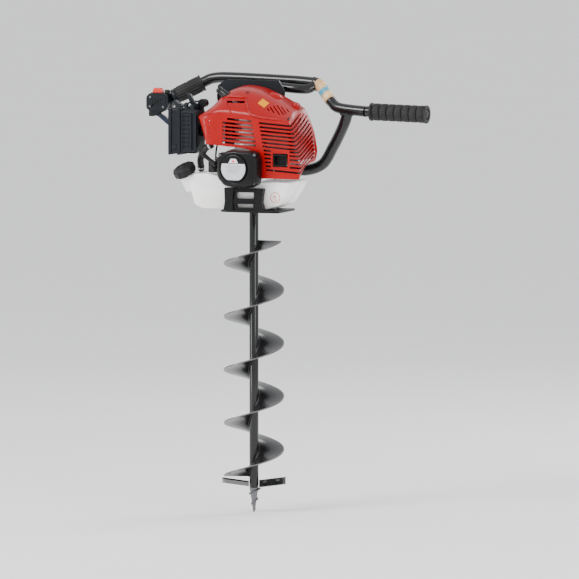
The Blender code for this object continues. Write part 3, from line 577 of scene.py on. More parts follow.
def coverSkin():
    bm = bmesh.new()
    rows = []
    for y, share in zip(cover["rows"], cover["shares"]):
        outline = [((1 - share) * a + share * c, (1 - share) * b + share * d)
            for (a, b), (c, d) in zip(coverRear, coverFront)]
        if share == 0.8:  # the nose juts out over the carburettor
            outline[10], outline[11] = (-0.092, 0.982), (-0.086, 0.969)
        if share == 1.0:  # the front face draws in a little
            outline = [(x + (0.055 - x) * 0.02, z + (0.92 - z) * 0.02 if i % 12 else z)
                for i, (x, z) in enumerate(coverFront)]
        rows.append([bm.verts.new((x, y, z)) for x, z in outline])
    for rear, front in zip(rows, rows[1:]):
        for i in range(len(rear) - 1):
            bm.faces.new((rear[i], rear[i + 1], front[i + 1], front[i]))
    face = bm.faces.new(rows[-1] + [bm.verts.new((x, cover["rows"][-1], z)) for x, z in coverFoot])
    crease = bm.edges.layers.float.new("crease_edge")
    bm.verts.index_update()
    softEnds = {rows[-1][i].index for i in range(6, 11)}
    for edge in face.edges:
        edge[crease] = 0.3 if {v.index for v in edge.verts} <= softEnds else 0.85
    for corner, sharp in ((3, 0.55), (6, 0.35), (9, 0.3), (10, 0.7), (1, 0.7), (0, 1.0), (12, 1.0)):
        for rear, front in zip(rows, rows[1:]):
            bm.edges.get((rear[corner], front[corner]))[crease] = sharp
    bmesh.ops.recalc_face_normals(bm, faces=bm.faces)
    if face.normal.y > 0:
        bmesh.ops.reverse_faces(bm, faces=bm.faces)
    shell = looseObject(bm)
    finer = shell.modifiers.new("finer", "SUBSURF")
    finer.levels = finer.render_levels = 3
    wall = shell.modifiers.new("wall", "SOLIDIFY")
    wall.thickness, wall.offset, wall.use_even_offset = cover["wall"], -1, True
    settle(shell)
    result = bmesh.new()
    result.from_mesh(shell.data)
    bmesh.ops.triangulate(result, faces=result.faces)
    bpy.data.objects.remove(shell, do_unlink=True)
    return result


# One slot through the front wall, sloping down to the right
def tiltedSlot(x0, x1, z, height):
    drop = (x1 - x0) * cover["tilt"]
    return loft([[Vector((x, y, z + lift + (drop if x == x1 else 0))) for x, lift in
        ((x0, 0), (x1, 0), (x1, height), (x0, height))] for y in (-0.18, -0.159)])


def coverCuts():
    cuts = [box((-0.13, -0.1515, 0.8), (-0.03, 0.0, 0.9705)), box((0.119, -0.18, 0.865),
        (0.158, -0.16, 0.898)),
        lathe([(0.0125, -0.02), (0.0125, 0.055)], cover["boot"], cover["bootWay"], 32)]
    for i in range(cover["windowSlots"]):  # the topmost is shorter
        left = -0.0135 + (0.012 if i == cover["windowSlots"] - 1 else 0)
        z = 0.9195 + cover["windowPitch"] * i
        cuts.append(tiltedSlot(left, 0.075 - 0.002 * i, z, cover["windowSlot"]))
    for i in range(cover["louvres"]):
        z = cover["lowest"] + cover["pitch"] * i
        front = 0.0825 + 0.0016 * (12 - i)
        spans = [(front, 0.114), (0.1625, 0.205)] if 0.86 < z < 0.9 else [(front, 0.205)]
        for x0, x1 in spans:
            cuts.append(tiltedSlot(x0, x1, z + (0.205 - x0) * 0.035, cover["slot"]))
        inner = min(0.16, 0.176 - max(0.0, z - 0.87) * 0.22)
        low = z - 0.0035
        cuts.append(loft([[Vector((x, y, low + rise + lift)) for x, lift in
            ((inner, 0), (0.21, 0), (0.21, cover["slot"]), (inner, cover["slot"]))]
            for y, rise in ((-0.1595, 0.002), (-0.048, cover["rearRise"]))]))
    for i in range(cover["holes"]):
        cuts.append(lathe([(0.0016, -0.18), (0.0016, -0.16)], (-0.048, 0, 0.934 + 0.0098 * i), alongY, 12))
    for x, y, length in ((0.097, -0.146, 0.006), (0.106, -0.143, 0.012), (0.116, -0.139, 0.019),
            (0.124, -0.133, 0.02), (0.13, -0.127, 0.015), (0.1375, -0.119, 0.008)):
        centre = Vector((x, y, 1.0))
        slant, side = Vector((0.74, -0.67, 0)) * length, Vector((0.67, 0.74, 0)) * 0.0018
        cuts.append(loft([[centre + slant * a + side * b + up * h
            for a, b in ((-1, -1), (1, -1), (1, 1), (-1, 1))] for h in (-0.05, 0.07)]))
    cuts.append(box((-0.011, -0.165, 1.0165), (0.034, -0.118, 1.0215)))
    return cuts


def cutEach(bm, cuts):
    for tool in cuts:
        bm = carve(bm, tool)
        bmesh.ops.triangulate(bm, faces=bm.faces)
    return bm


skin = cutEach(coverSkin(), coverCuts())
coverTree = surfaceOf(skin)


def bead(points, radius, perSpan=7, sink=0.35):
    path = [snap(coverTree, p, radius * (1 - 2 * sink))[0] for p in smoothPath(points, perSpan)]
    return sweep(path, radius, 12, lambda t: radius * (0.35 + 0.65 * min(1.0, 5 * t, 5 * (1 - t))))


beads = [bead([(0.035, -0.128, 1.02), (0.044, -0.148, 1.006), (0.056, -0.165, 0.993), (0.075, -0.168, 0.986),
    (0.1, -0.169, 0.983), (0.136, -0.169, 0.979), (0.16, -0.168, 0.971)], 0.003),
    bead([(-0.013, -0.128, 1.02), (-0.004, -0.148, 1.006), (0.012, -0.165, 0.99)], 0.0024),
    bead([(-0.066, -0.164, 0.984), (-0.04, -0.168, 0.992), (-0.02, -0.168, 0.99)], 0.0018),
    bead([(-0.013, -0.128, 1.0235), (0.01, -0.129, 1.025), (0.036, -0.128, 1.0235)], 0.0032)]
for spot, profile in (((0.15, -0.062, 1.016), [(0.01, -0.006), (0.01, 0.0055), (0.0088, 0.008),
        (0.0055, 0.0088)]),
        ((0.092, -0.066, 1.04), [(0.019, -0.008), (0.018, 0.0005), (0.015, 0.004), (0.009, 0.0062),
        (0.001, 0.0068)])):
    foot, normal = snap(coverTree, spot)
    beads.append(lathe(profile, foot, normal, 32))
stand("topCoverShell", merge(skin, *beads), red, "top_cover", bevel=0.0006, segments=2, smooth=32)

label = {"color": (0.78, 0.28, 0.0), "at": (0.079, -0.132, 1.016), "wide": 0.0072, "tall": 0.0092,
    "lift": 0.0005}
sticker = moulded("yellowLabel", label["color"], 0.5, gloss=1.2, grain=200.0, depth=0.03, dust=0.1)
stickerAt, stickerUp = snap(coverTree, label["at"])
sideways, onwards = sideAxes(stickerUp)
labelMesh = bmesh.new()
bmesh.ops.create_grid(labelMesh, x_segments=8, y_segments=8, size=1.0)
for vert in labelMesh.verts:
    a, b = vert.co.x, vert.co.y
    place = stickerAt + sideways * (a + b) * label["wide"] + onwards * (a - b) * label["tall"]
    vert.co = snap(coverTree, place, label["lift"])[0]
bmesh.ops.recalc_face_normals(labelMesh, faces=labelMesh.faces)
piece("coverLabel", labelMesh, sticker, smooth=60)
crestAt, crestUp = snap(coverTree, (0.0265, -0.114, 1.054))
piece("crestScrew", lathe([(0.0046, -0.003), (0.0046, 0.0007), (0.0036, 0.0011), (0.0016, -0.0004),
    (0.0004, -0.0006)], crestAt, crestUp, 24), black, bevel=0.0003)
# Black sheet closing the cover's rear from inside: painted shade, standing in for the shaded inside of the
# cover seen through its slots
shadeBulkhead = [(0.055 + (x - 0.055) * 0.955, 0.95 + (z - 0.95) * 0.955) for x, z in coverRear]
piece("coverBulkhead", plate(shadeBulkhead + [(-0.058, 0.921), (0.079, 0.906), (0.15, 0.884)], -0.047, -0.045),
    black)
# Black sheets just inside the louvres and slots: painted shade, so the slots read dark where the inside of
# the cover lies in shade
shadeSheetSide = plate([(0.153, 0.985), (0.1545, 0.985), (0.1755, 0.88), (0.174, 0.88)], -0.16, -0.05)
shadeSheetFront = box((0.086, -0.16, 0.952), (0.156, -0.159, 0.976))
shadeSheetLow = box((0.086, -0.162, 0.842), (0.118, -0.161, 0.898))
shadeSheetUnder = box((0.1185, -0.16, 0.844), (0.18, -0.159, 0.862))
piece("coverLiner", merge(shadeSheetSide, shadeSheetFront, shadeSheetLow, shadeSheetUnder), black)
print("cover")


# Starter housing with its plate

starter = {"outline": [(-0.016, 0.838), (0.004, 0.8155), (0.068, 0.8125), (0.091, 0.824), (0.093, 0.884),
    (0.078, 0.904), (0.008, 0.9045), (-0.016, 0.886)], "centre": (0.0315, 0.861),
    "corner": 0.008, "screws": ((0.084, 0.895), (-0.006, 0.893), (0.083, 0.826)),
    "depths": ((-0.1745, 1.0), (-0.193, 0.99), (-0.203, 0.955), (-0.2072, 0.9), (-0.2079, 0.86)),
    "mouth": (-0.014, -0.1925, 0.881), "ropeRadius": 0.0017, "ropeSteps": 24,
    "printWidths": (0.0205, 0.018, 0.015, 0.017, 0.01)}


def shrunk(outline, centre, share):
    return [(centre[0] + (x - centre[0]) * share, centre[1] + (z - centre[1]) * share) for x, z in outline]


# Round each corner of a flat outline with a short curve
def rounded(outline, radius, steps=4):
    result = []
    for i, corner in enumerate(outline):
        here = Vector(corner)
        ends = [here + (Vector(outline[j % len(outline)]) - here).normalized() * radius
            for j in (i - 1, i + 1)]
        for k in range(steps + 1):
            t = k / steps
            point = ends[0] * (1 - t) ** 2 + here * 2 * t * (1 - t) + ends[1] * t * t
            result.append((point.x, point.y))
    return result


outer = rounded(starter["outline"], starter["corner"])
shell = loft([[Vector((x, y, z)) for x, z in shrunk(outer, starter["centre"], share)]
    for y, share in starter["depths"]])
axis = (starter["centre"][0], 0, starter["centre"][1])
groove = lathe([(0.0365, -0.21), (0.0375, -0.206), (0.035, -0.2052), (0.034, -0.21)], axis, alongY, 64, True)
shell = cutEach(shell, [groove])
face = lathe([(0.0335, -0.207), (0.0335, -0.2094), (0.0322, -0.2102), (0.03, -0.2103)], axis, alongY, 64)
ropeMouth = lathe([(0.0062, 0.0), (0.0062, 0.006), (0.0048, 0.0075), (0.0032, 0.0075), (0.0032, 0.0)],
    starter["mouth"], (-1, 0, 0), 24, True)
ring = lathe([(0.0405, -0.2062), (0.0405, -0.2076), (0.0385, -0.2086), (0.0372, -0.2076), (0.0372, -0.2062)],
    axis, alongY, 64, True)
lugs = [lathe([(0.0056, -0.178), (0.0056, -0.2015), (0.005, -0.203)], (x, 0, z), alongY, 24)
    for x, z in starter["screws"]]
ropeLow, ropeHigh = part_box("starter_rope")
ropeAt = [(a + b) / 2 for a, b in zip(ropeLow, ropeHigh)]
ropeLine = [Vector((ropeLow[0] + (ropeHigh[0] - ropeLow[0]) * i / starter["ropeSteps"], ropeAt[1],
    ropeAt[2])) for i in range(starter["ropeSteps"] + 1)]
starterRope = looseObject(sweep(ropeLine, starter["ropeRadius"], 16))  # a straight cord across the box of the CAD rope
starterRope.name = starterRope.data.name = "starterRope"
starterRope.data.shade_smooth()
starterRope.data.materials.append(rope)
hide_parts("starter_rope")
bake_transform(starterRope)
stand("starterShell", merge(shell, face, ring, ropeMouth, *lugs), black, "starter_housing", bevel=0.0006,
    smooth=34)
silver = metal("silverPlate", (0.66, 0.66, 0.7), 0.34, (8, 1, 1), 400.0, stain=0.15)
disc = [(x, max(z, 0.833)) for x, z in arc(0.0315, 0.861, 0.0316, -202, 22, 44)]
piece("starterPlate", plate(disc, -0.2101, -0.2106), silver, bevel=0.0002)
printed = moulded("greyPrint", (0.2, 0.2, 0.22), 0.4, depth=0.02)
bars = [box((0.031 - w, -0.2108, 0.8665 - 0.004 * i), (0.031 + w, -0.2105, 0.8675 - 0.004 * i))
    for i, w in enumerate(starter["printWidths"])]
piece("platePrint", merge(*bars), printed)
emblem = plate([(0.019, 0.8745), (0.044, 0.8745), (0.038, 0.885), (0.025, 0.885)], -0.2101, -0.2106)
piece("starterEmblem", emblem, moulded("whitePrint", (0.75, 0.72, 0.72), 0.4, depth=0.02))
piece("starterMark", plate([(0.0265, 0.8765), (0.0365, 0.8765), (0.0315, 0.883)], -0.2105, -0.2108),
    switchRed)
screws = [lathe([(0.0034, -0.201), (0.0034, -0.2042), (0.0028, -0.2048), (0.0014, -0.2036),
    (0.0003, -0.2036)], (x, 0, z), alongY, 20) for x, z in starter["screws"]]
piece("starterScrews", merge(*screws), darkSteel)
print("starter")


# Fuel tank, cap and stand

fuelTank = {"outline": [(-0.075, 0.7575), (0.094, 0.7575), (0.128, 0.768), (0.151, 0.8), (0.165, 0.828),
    (0.078, 0.828), (0.074, 0.8155), (-0.013, 0.8155), (-0.018, 0.838), (-0.06, 0.845),
    (-0.104, 0.842), (-0.112, 0.828), (-0.094, 0.766)], "corner": 0.0055,
    "rows": [(-0.047, 0.93), (-0.0488, 0.97), (-0.053, 0.993), (-0.059, 1.0), (-0.147, 1.0),
    (-0.153, 0.993), (-0.1572, 0.97), (-0.159, 0.93)], "seam": 0.0011,
    "markAt": (0.121, -0.1592, 0.7895)}
fuelCap = {"at": (-0.122, -0.15, 0.849), "way": (-0.3, -0.42, 0.856), "flats": 10, "bite": 0.055, "wings": 3}
tankCorners = rounded(fuelTank["outline"], fuelTank["corner"], 3)
body = loft([[Vector((x, y, z)) for x, z in
    [(0.028 + (x - 0.028) * (1 - (1 - s) * 0.6), 0.797 + (z - 0.797) * s) for x, z in tankCorners]]
    for y, s in fuelTank["rows"]])
capAt, capUp = Vector(fuelCap["at"]), Vector(fuelCap["way"]).normalized()
neck = lathe([(0.02, -0.05), (0.02, -0.015), (0.0225, -0.015), (0.0225, -0.0125), (0.02, -0.012),
    (0.02, -0.0103)], capAt, capUp, 48)
body = carve(body, neck, "UNION")
bmesh.ops.triangulate(body, faces=body.faces)
seamPath = smoothPath([(x, -0.103, z) for x, z in tankCorners[::2] + tankCorners[:1]], 2)
seam = sweep(seamPath, fuelTank["seam"], 8)
stand("fuelTankShell", merge(body, seam), tank, "fuel_tank", smooth=50)
markAt = Vector(fuelTank["markAt"])
mark = lathe([(0.0128, 0.0), (0.0128, 0.0004), (0.0114, 0.0004), (0.0114, 0.0)], markAt, (0, -1, 0), 48,
    True)
glyph = [box(markAt + Vector((-0.0008, -0.0004, -0.009)), markAt + Vector((0.0008, 0.0, 0.006))),
    box(markAt + Vector((-0.005, -0.0004, 0.002)), markAt + Vector((-0.001, 0.0, 0.0035))),
    box(markAt + Vector((-0.0055, -0.0004, -0.003)), markAt + Vector((-0.004, 0.0, 0.0035)))]
piece("tankMark", merge(mark, *glyph), moulded("redPrint", (0.66, 0.08, 0.07), 0.4, depth=0.02))

capRings = []
for radius, along in ((0.0262, -0.0098), (0.0282, -0.0085), (0.0288, -0.003), (0.0288, 0.0065),
        (0.0268, 0.0092), (0.0235, 0.0098)):
    ring = []
    first, second = sideAxes(capUp)
    for i in range(fuelCap["flats"] * 8):
        a = 2 * math.pi * i / (fuelCap["flats"] * 8)
        flat = 1.0 - fuelCap["bite"] * (0.5 - 0.5 * math.cos(a * fuelCap["flats"])) ** 0.6
        ring.append(capAt + capUp * along + (first * math.cos(a) + second * math.sin(a)) * radius * flat)
    capRings.append(ring)
capBody = loft(capRings)
dish = lathe([(0.0185, 0.0112), (0.0175, 0.0086), (0.001, 0.0086)], capAt, capUp, 48)
bar = lathe([(0.006, 0.008), (0.006, 0.0094), (0.0045, 0.0097)], capAt, capUp, 24)
capBody = cutEach(capBody, [dish])
wings = []
for i in range(fuelCap["wings"]):
    out = sideAxes(capUp)[0] * math.cos(2.1 * i) + sideAxes(capUp)[1] * math.sin(2.1 * i)
    wings.append(sweep([capAt + capUp * 0.0084 + out * 0.003, capAt + capUp * 0.0084 + out * 0.016], 0.0012,
        10))
stand("fuelCapShell", merge(capBody, bar, *wings), textured, "fuel_cap", bevel=0.0005, smooth=38)

standOutline = rounded([(-0.008, 0.757), (-0.0045, 0.778), (-0.006, 0.8118), (0.098, 0.8118),
    (0.0925, 0.778), (0.099, 0.757)], 0.003)
frameBody = plate(standOutline, -0.164, -0.1735)
windows = [plate(roundRect(0.0245, 0.7635, 0.069, 0.7725, 0.0016), -0.19, -0.15),
    plate(roundRect(0.024, 0.7855, 0.07, 0.801, 0.002), -0.19, -0.15)]
posts = [plate(rounded([(-0.008, 0.7545), (0.0175, 0.7545), (0.016, 0.78), (0.0195, 0.8118),
    (-0.006, 0.8118), (-0.0045, 0.778)], 0.003), -0.17, -0.178),
    plate(rounded([(0.0735, 0.7545), (0.099, 0.7545), (0.0925, 0.778), (0.098, 0.8118), (0.0745, 0.8118),
    (0.076, 0.78)], 0.003), -0.17, -0.178)]
rungs = [box((0.01, -0.1765, z), (0.085, -0.168, z + 0.0035)) for z in (0.7735, 0.7795, 0.8045)]
footPlate = plate(rounded([(-0.018, -0.172), (-0.002, -0.18), (0.1, -0.18), (0.136, -0.172), (0.136, -0.066),
    (0.126, -0.06), (-0.01, -0.06), (-0.018, -0.066)], 0.004), 0.752, 0.7569, "z")
stand("tankStandBody", merge(cutEach(frameBody, windows), *posts, *rungs, footPlate), black, "tank_stand",
    bevel=0.0008, smooth=36)
print("tank")


# Flight, bit and cutters

screw = {"turns": 4.43, "pitch": 0.131, "inner": 0.0116, "outer": 0.0743, "angle": 202.0, "height": 0.0887,
    "thickness": 0.003, "along": 260, "across": 14, "weldTurns": 4.42, "weldRadius": 0.0122}


# A right-handed screw: a flat grid wound round the axis, then given its thickness
def flightGrower():
    g = Grower("flight", Turns=screw["turns"], Pitch=screw["pitch"], Inner=screw["inner"],
        Outer=screw["outer"],
        Angle=math.radians(screw["angle"]), Height=screw["height"], Thickness=screw["thickness"],
        Along=screw["along"], Across=screw["across"], Material=flight)
    grid = g.node("GeometryNodeMeshGrid", {}, {"Size X": 1.0, "Size Y": 1.0, "Vertices X": g.inputs["Along"],
        "Vertices Y": g.inputs["Across"]})
    split = g.tree.nodes.new("ShaderNodeSeparateXYZ")
    g.tree.links.new(g.node("GeometryNodeInputPosition", {}, {}).socket, split.inputs[0])
    turns = (Wire(g, split.outputs[0]) + 0.5) * g.inputs["Turns"]
    radius = g.inputs["Inner"] + (Wire(g, split.outputs[1]) + 0.5) * (g.inputs["Outer"] - g.inputs["Inner"])
    turned = turns * 2 * math.pi + g.inputs["Angle"]
    place = g.node("ShaderNodeCombineXYZ", {}, {
        0: g.node("ShaderNodeMath", {"operation": "COSINE"}, {0: turned}) * radius,
        1: g.node("ShaderNodeMath", {"operation": "SINE"}, {0: turned}) * radius,
        2: turns * g.inputs["Pitch"] + g.inputs["Height"] - g.inputs["Thickness"] * 0.5})
    wound = g.node("GeometryNodeSetPosition", {}, {"Geometry": grid, "Position": place})
    lift = g.node("ShaderNodeCombineXYZ", {}, {2: g.inputs["Thickness"]})
    raised = g.node("GeometryNodeExtrudeMesh", {"mode": "FACES"}, {"Mesh": wound, "Offset": lift,
        "Offset Scale": 1.0, "Individual": False})
    under = g.node("GeometryNodeFlipFaces", {}, {"Mesh": wound})
    both = g.tree.nodes.new("GeometryNodeJoinGeometry")
    for part in (raised, under):
        g.tree.links.new(part.socket, both.inputs[0])
    closed = g.node("GeometryNodeMergeByDistance", {}, {"Geometry": Wire(g, both.outputs[0]),
        "Distance": 0.00005})
    return g.finish(closed)


# Point every face of a closed mesh outwards
def outwards(made):
    bm = bmesh.new()
    bm.from_mesh(made.data)
    bmesh.ops.recalc_face_normals(bm, faces=bm.faces)
    bm.to_mesh(made.data)
    bm.free()


flightPiece = flightGrower().grow("augerFlight", angle=50)
outwards(flightPiece)
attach(flightPiece, "auger")
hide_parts("auger_flight")
weld = []
for i in range(int(48 * screw["weldTurns"])):
    a = math.radians(screw["angle"]) + 2 * math.pi * i / 48
    weld.append(Vector((math.cos(a), math.sin(a), 0)) * screw["weldRadius"]
        + up * (screw["height"] + screw["pitch"] * i / 48))
piece("flightWeldTop", sweep([p + up * 0.0022 for p in weld], 0.0021, 8), flight, "auger", smooth=60)
piece("flightWeldUnder", sweep([p - up * 0.0022 for p in weld], 0.0018, 8), flight, "auger", smooth=60)
stand("bitTube", lathe([(0.009, 0.0603), (0.0106, 0.0612), (0.0113, 0.064), (0.0113, 0.784),
    (0.0108, 0.785)], (0, 0, 0), up, 48), blackPaint, "bit_shaft", smooth=40)
for name in ("cutter_left", "cutter_right"):
    low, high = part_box(name)
    outward = Vector(((low.x + high.x) / 2, (low.y + high.y) / 2, 0)).normalized()
    for i, radius in enumerate((0.026, 0.058)):
        spot = outward * radius
        top = snap(surfaceOf(bmeshOf(frame["nodes"][name])), spot + up * 0.2, 0.0, spot + up * 0.01)
        piece(f"{name}Bolt{i}", lathe([(0.005, -0.002), (0.005, 0.0022), (0.0042, 0.003), (0.0018, 0.003),
            (0.0016, 0.0014)], top[0], top[1], 6), darkSteel, "auger", bevel=0.0003)
rims = [lathe([(0.0179, z - 0.0018), (0.0186, z - 0.001), (0.0186, z + 0.001), (0.0179, z + 0.0018)],
    (0, 0, 0), up, 40) for z in (0.744, 0.81)]
piece("couplingRims", merge(*rims), blackPaint, "auger", smooth=50)
print("bit")


# Handle tubes, sleeve and welds

tubes = {"top_bar": (0.0135, [(-0.207, -0.0045, 1.0185), (-0.145, 0.02, 1.052), (-0.115, 0.0285, 1.064),
    (-0.06, 0.03, 1.066), (0.09, 0.03, 1.062), (0.145, 0.028, 1.059)]),
    "right_arm": (0.0135, [(0.145, 0.028, 1.059), (0.154, 0.0274, 1.0583), (0.169, 0.022, 1.05),
    (0.185, 0.012, 1.034), (0.206, 0.0, 1.014), (0.23, -0.01, 1.001),
    (0.298, -0.02, 0.9954), (0.317, -0.02, 0.995), (0.46, -0.02, 0.992)]),
    "hip_bar": (0.012, [(-0.003, 0.002, 1.05), (0.06, 0.002, 1.048), (0.113, 0.003, 1.0445),
    (0.138, 0.012, 1.0445), (0.152, 0.024, 1.053)]),
    "lower_brace": (0.014, [(0.25, -0.015, 0.992), (0.249, -0.013, 0.98), (0.243, -0.011, 0.964),
    (0.227, 0.0, 0.938), (0.205, 0.012, 0.905), (0.172, 0.023, 0.86),
    (0.125, 0.022, 0.844), (0.085, 0.014, 0.853), (0.0548, 0.011, 0.856)])}
for node, (radius, points) in tubes.items():
    stand(node.replace("_", "") + "Tube", sweep(smoothPath(points, 10), radius, 32), blackPaint, node,
        smooth=50, bevel=0.0)


# A hand-laid weld: a ring of overlapping ripples
def weldRing(centre, direction, radius, size, lumps=26):
    first, second = sideAxes(direction)
    path = []
    for i in range(lumps * 4 + 1):
        a = 2 * math.pi * i / (lumps * 4)
        path.append(Vector(centre) + (first * math.cos(a) + second * math.sin(a)) * radius)
    rings = []
    for i, point in enumerate(path[:-1]):
        across = (point - Vector(centre)).normalized()
        along = Vector(direction).normalized()
        r = size * (0.82 + 0.18 * math.cos(i * math.pi / 2))
        rings.append([point + (across * math.cos(t) + along * math.sin(t)) * r
            for t in [2 * math.pi * k / 8 for k in range(8)]])
    return loft(rings, closed=True)


welds = [weldRing((0.2496, -0.0138, 0.9855), (0.08, 0.12, 1), 0.0142, 0.003),
    weldRing((0.148, 0.0279, 1.0588), (1, 0, -0.05), 0.0132, 0.0022),
    weldRing((0.1495, 0.0225, 1.0515), (0.6, 0.5, 0.4), 0.0122, 0.0026)]
piece("frameWelds", merge(*welds), blackPaint, smooth=60)


# Tan paper wrap with a printed blue block and a worn edge
def sleeveLook():
    m = Maker("tanSleeve", IOR=1.45)
    x, y, z = m.parts()
    along = (x - 0.16) * 0.74 + (1.056 - z) * 0.68
    band = m.ramp(along, 0.0185, 0.019) - m.ramp(along, 0.0335, 0.034)
    printMask = (band * m.ramp(m.cells(110.0) + m.noise(140.0) * 0.15, 0.42, 0.46)).clamp()
    edge = (m.ramp(along, 0.0065, 0.006) + m.ramp(along, 0.048, 0.0485)).clamp()
    body = m.mix(m.noise(60.0, 4.0), (0.62, 0.38, 0.17), (0.76, 0.5, 0.25))
    body = m.mix(printMask, body, (0.06, 0.3, 0.42))
    body = m.mix(m.ramp(along, 0.04, 0.0404) * 0.7 - m.ramp(along, 0.043, 0.0434) * 0.7, body,
        (0.85, 0.72, 0.5))
    m.give(Base_Color=m.mix(edge * 0.5, body, (0.45, 0.27, 0.12)),
        Roughness=(m.noise(200.0) * 0.2 + 0.38).clamp())
    return m.bump(m.noise(90.0, 3.0), 0.25, 0.0006)


armPath = smoothPath(tubes["right_arm"][1], 10)
wrap = [p for p in armPath if 0.1575 < p.x < 0.2035]
piece("tanSleeve", sweep(wrap, 0.0143, 40), sleeveLook(), smooth=60)

plugEnd = lathe([(0.0112, 0.0), (0.0112, 0.003), (0.01, 0.0042), (0.003, 0.0044)], (0.459, -0.02, 0.992),
    (0.9998, 0, -0.021), 40)
piece("armEndPlug", plugEnd, rubber, smooth=50)


# Grips

def gripProfile(length, bore, lobes, crown, groove, flange):
    profile = [(bore, 0.0), (flange, 0.0), (flange, 0.004), (flange - 0.0008, 0.0052)]
    start, end = 0.0062, length - 0.0055
    pitch = (end - start) / lobes
    for i in range(lobes):
        z = start + pitch * i
        profile += [(groove, z), (groove, z + 0.0026), (crown - 0.0006, z + 0.0034), (crown, z + 0.005),
            (crown, z + pitch - 0.0022), (crown - 0.0006, z + pitch - 0.0006)]
    return profile + [(groove, end), (flange, end + 0.0008), (flange, length - 0.0008),
        (flange - 0.0008, length), (bore, length)]


# A moulded grip whose crowns carry fine lengthwise ribs
def ribbedGrip(profile, start, direction, ribs, depth):
    start, direction = Vector(start), Vector(direction).normalized()
    first, second = sideAxes(direction)
    crown = max(r for r, z in profile[6:-6])
    result = []
    for radius, along in profile:
        bite = depth if abs(radius - crown) < 0.0008 else 0.0
        ring = []
        for i in range(ribs * 4):
            a = 2 * math.pi * i / (ribs * 4)
            r = radius - (bite if i % 4 in (2, 3) else 0.0)
            ring.append(start + direction * along + (first * math.cos(a) + second * math.sin(a)) * r)
        result.append(ring)
    return loft(result, closed=True)


grips = {"bore": 0.0138, "rightLength": 0.147, "rightLobes": 7, "rightRibs": 26, "rightDepth": 0.0007,
    "leftRibs": 20, "leftDepth": 0.0013, "leftStart": (-0.144, 0.0203, 1.0523),
    "leftEnd": (-0.203, -0.003, 1.0205)}
rightGrip = ribbedGrip(gripProfile(grips["rightLength"], grips["bore"], grips["rightLobes"], 0.0212, 0.0176,
    0.0224), (0.317, -0.02, 0.995), (0.143, 0, -0.003), grips["rightRibs"], grips["rightDepth"])
stand("rightGripRubber", rightGrip, rubber, "right_grip", smooth=32)
gripStart, gripEnd = Vector(grips["leftStart"]), Vector(grips["leftEnd"])
long, half = (gripEnd - gripStart).length, (gripEnd - gripStart).length * 0.5
fluted = [(0.0138, 0.0), (0.0212, 0.0), (0.0212, 0.004), (0.0204, 0.005), (0.0192, 0.006), (0.0192, 0.0075),
    (0.0202, 0.0085), (0.0203, half - 0.0015), (0.019, half - 0.001), (0.019, half + 0.001),
    (0.0203, half + 0.0015), (0.02, long - 0.008), (0.019, long - 0.006), (0.019, long - 0.004),
    (0.0196, long - 0.003), (0.0196, long - 0.001), (0.0188, long), (0.0138, long)]
leftGrip = ribbedGrip(fluted, gripStart, gripEnd - gripStart, grips["leftRibs"], grips["leftDepth"])
collarWay = (gripEnd - gripStart).normalized()
piece("gripCollar", lathe([(0.0137, 0.0004), (0.0182, 0.0004), (0.019, 0.002), (0.019, 0.008),
    (0.0178, 0.01), (0.0137, 0.01)], gripEnd, collarWay, 40, True), blueBlack)
stand("leftGripRubber", leftGrip, rubber, "left_grip", smooth=32)
print("frame")


# Air cleaner

cleaner = {"steps": 9, "stepRise": 0.0104, "ribs": 5, "ribStep": 0.0068,
    "hollow": ((-0.1605, -0.1488, 0.8912), (-0.13, -0.0912, 0.9948))}
outerShell = carve(box((-0.1625, -0.1505, 0.8895), (-0.1325, -0.0895, 0.9965)),
    box(*cleaner["hollow"]))
backRim = carve(box((-0.164, -0.1533, 0.8862), (-0.156, -0.0867, 0.9998)),
    box((-0.1605, -0.1488, 0.8912), (-0.15, -0.0912, 0.9948)))
flange = carve(box((-0.141, -0.1533, 0.8862), (-0.1325, -0.0867, 0.9998)),
    box((-0.15, -0.1488, 0.8912), (-0.12, -0.0912, 0.9948)))
bars = [box((-0.1639, y, 0.896), (-0.1625, y + 0.004, 0.99)) for y in (-0.144, -0.13, -0.116, -0.102)]
bars += [box((-0.157, -0.152, z), (-0.14, -0.15, z + 0.003)) for z in (0.9, 0.98)]
bars.append(lathe([(0.007, 0.0), (0.007, 0.006), (0.0055, 0.0075)], (-0.148, -0.1462, 0.905), (0, -1, 0),
    24))
stand("filterCoverShell", merge(outerShell, backRim, flange, *bars), blueBlack, "filter_cover", bevel=0.0016,
    segments=3, smooth=40)
row("cleanerStepsFront", box((-0.01, -0.001, -0.0016), (0.01, 0.001, 0.0016)), blueBlack,
    cleaner["steps"], (-0.116, -0.1503, 0.902), (0, 0, cleaner["stepRise"]))
row("cleanerRibsBack", box((-0.0013, -0.0012, -0.044), (0.0013, 0.0012, 0.044)), blueBlack,
    cleaner["ribs"], (-0.1255, -0.0898, 0.943), (cleaner["ribStep"], 0, 0))
bands = [box((-0.13, -0.152, z), (-0.093, -0.1485, z + 0.004)) for z in (0.8935, 0.9885)]
bands += [box((x, -0.1525, 0.895), (x + 0.0035, -0.149, 0.99)) for x in (-0.129, -0.106)]
bands += [box((-0.1318, -0.1515, 0.89), (-0.1285, -0.0885, 0.999)),
    box((-0.096, -0.151, 0.896), (-0.0905, -0.132, 0.99)),
    box((-0.0935, -0.145, 0.905), (-0.088, -0.135, 0.98))]
piece("cleanerBands", merge(*bands), blueBlack, bevel=0.0012, segments=2)
tops = [box((-0.128, -0.147, 0.996), (-0.112, -0.129, 1.001)),
    box((-0.127, -0.112, 0.996), (-0.098, -0.096, 1.003)),
    box((-0.125, -0.144, 1.0), (-0.118, -0.132, 1.009)),
    lathe([(0.0062, 0.996), (0.0062, 1.0065), (0.005, 1.0085), (0.0015, 1.0085)], (-0.106, -0.14, 0), up,
    28),
    lathe([(0.004, -0.005), (0.0052, -0.004), (0.0052, 0.004), (0.004, 0.005)], (-0.1215, -0.138, 1.009),
    alongY, 24)]
piece("cleanerTop", merge(*tops), blueBlack, bevel=0.001, segments=2)
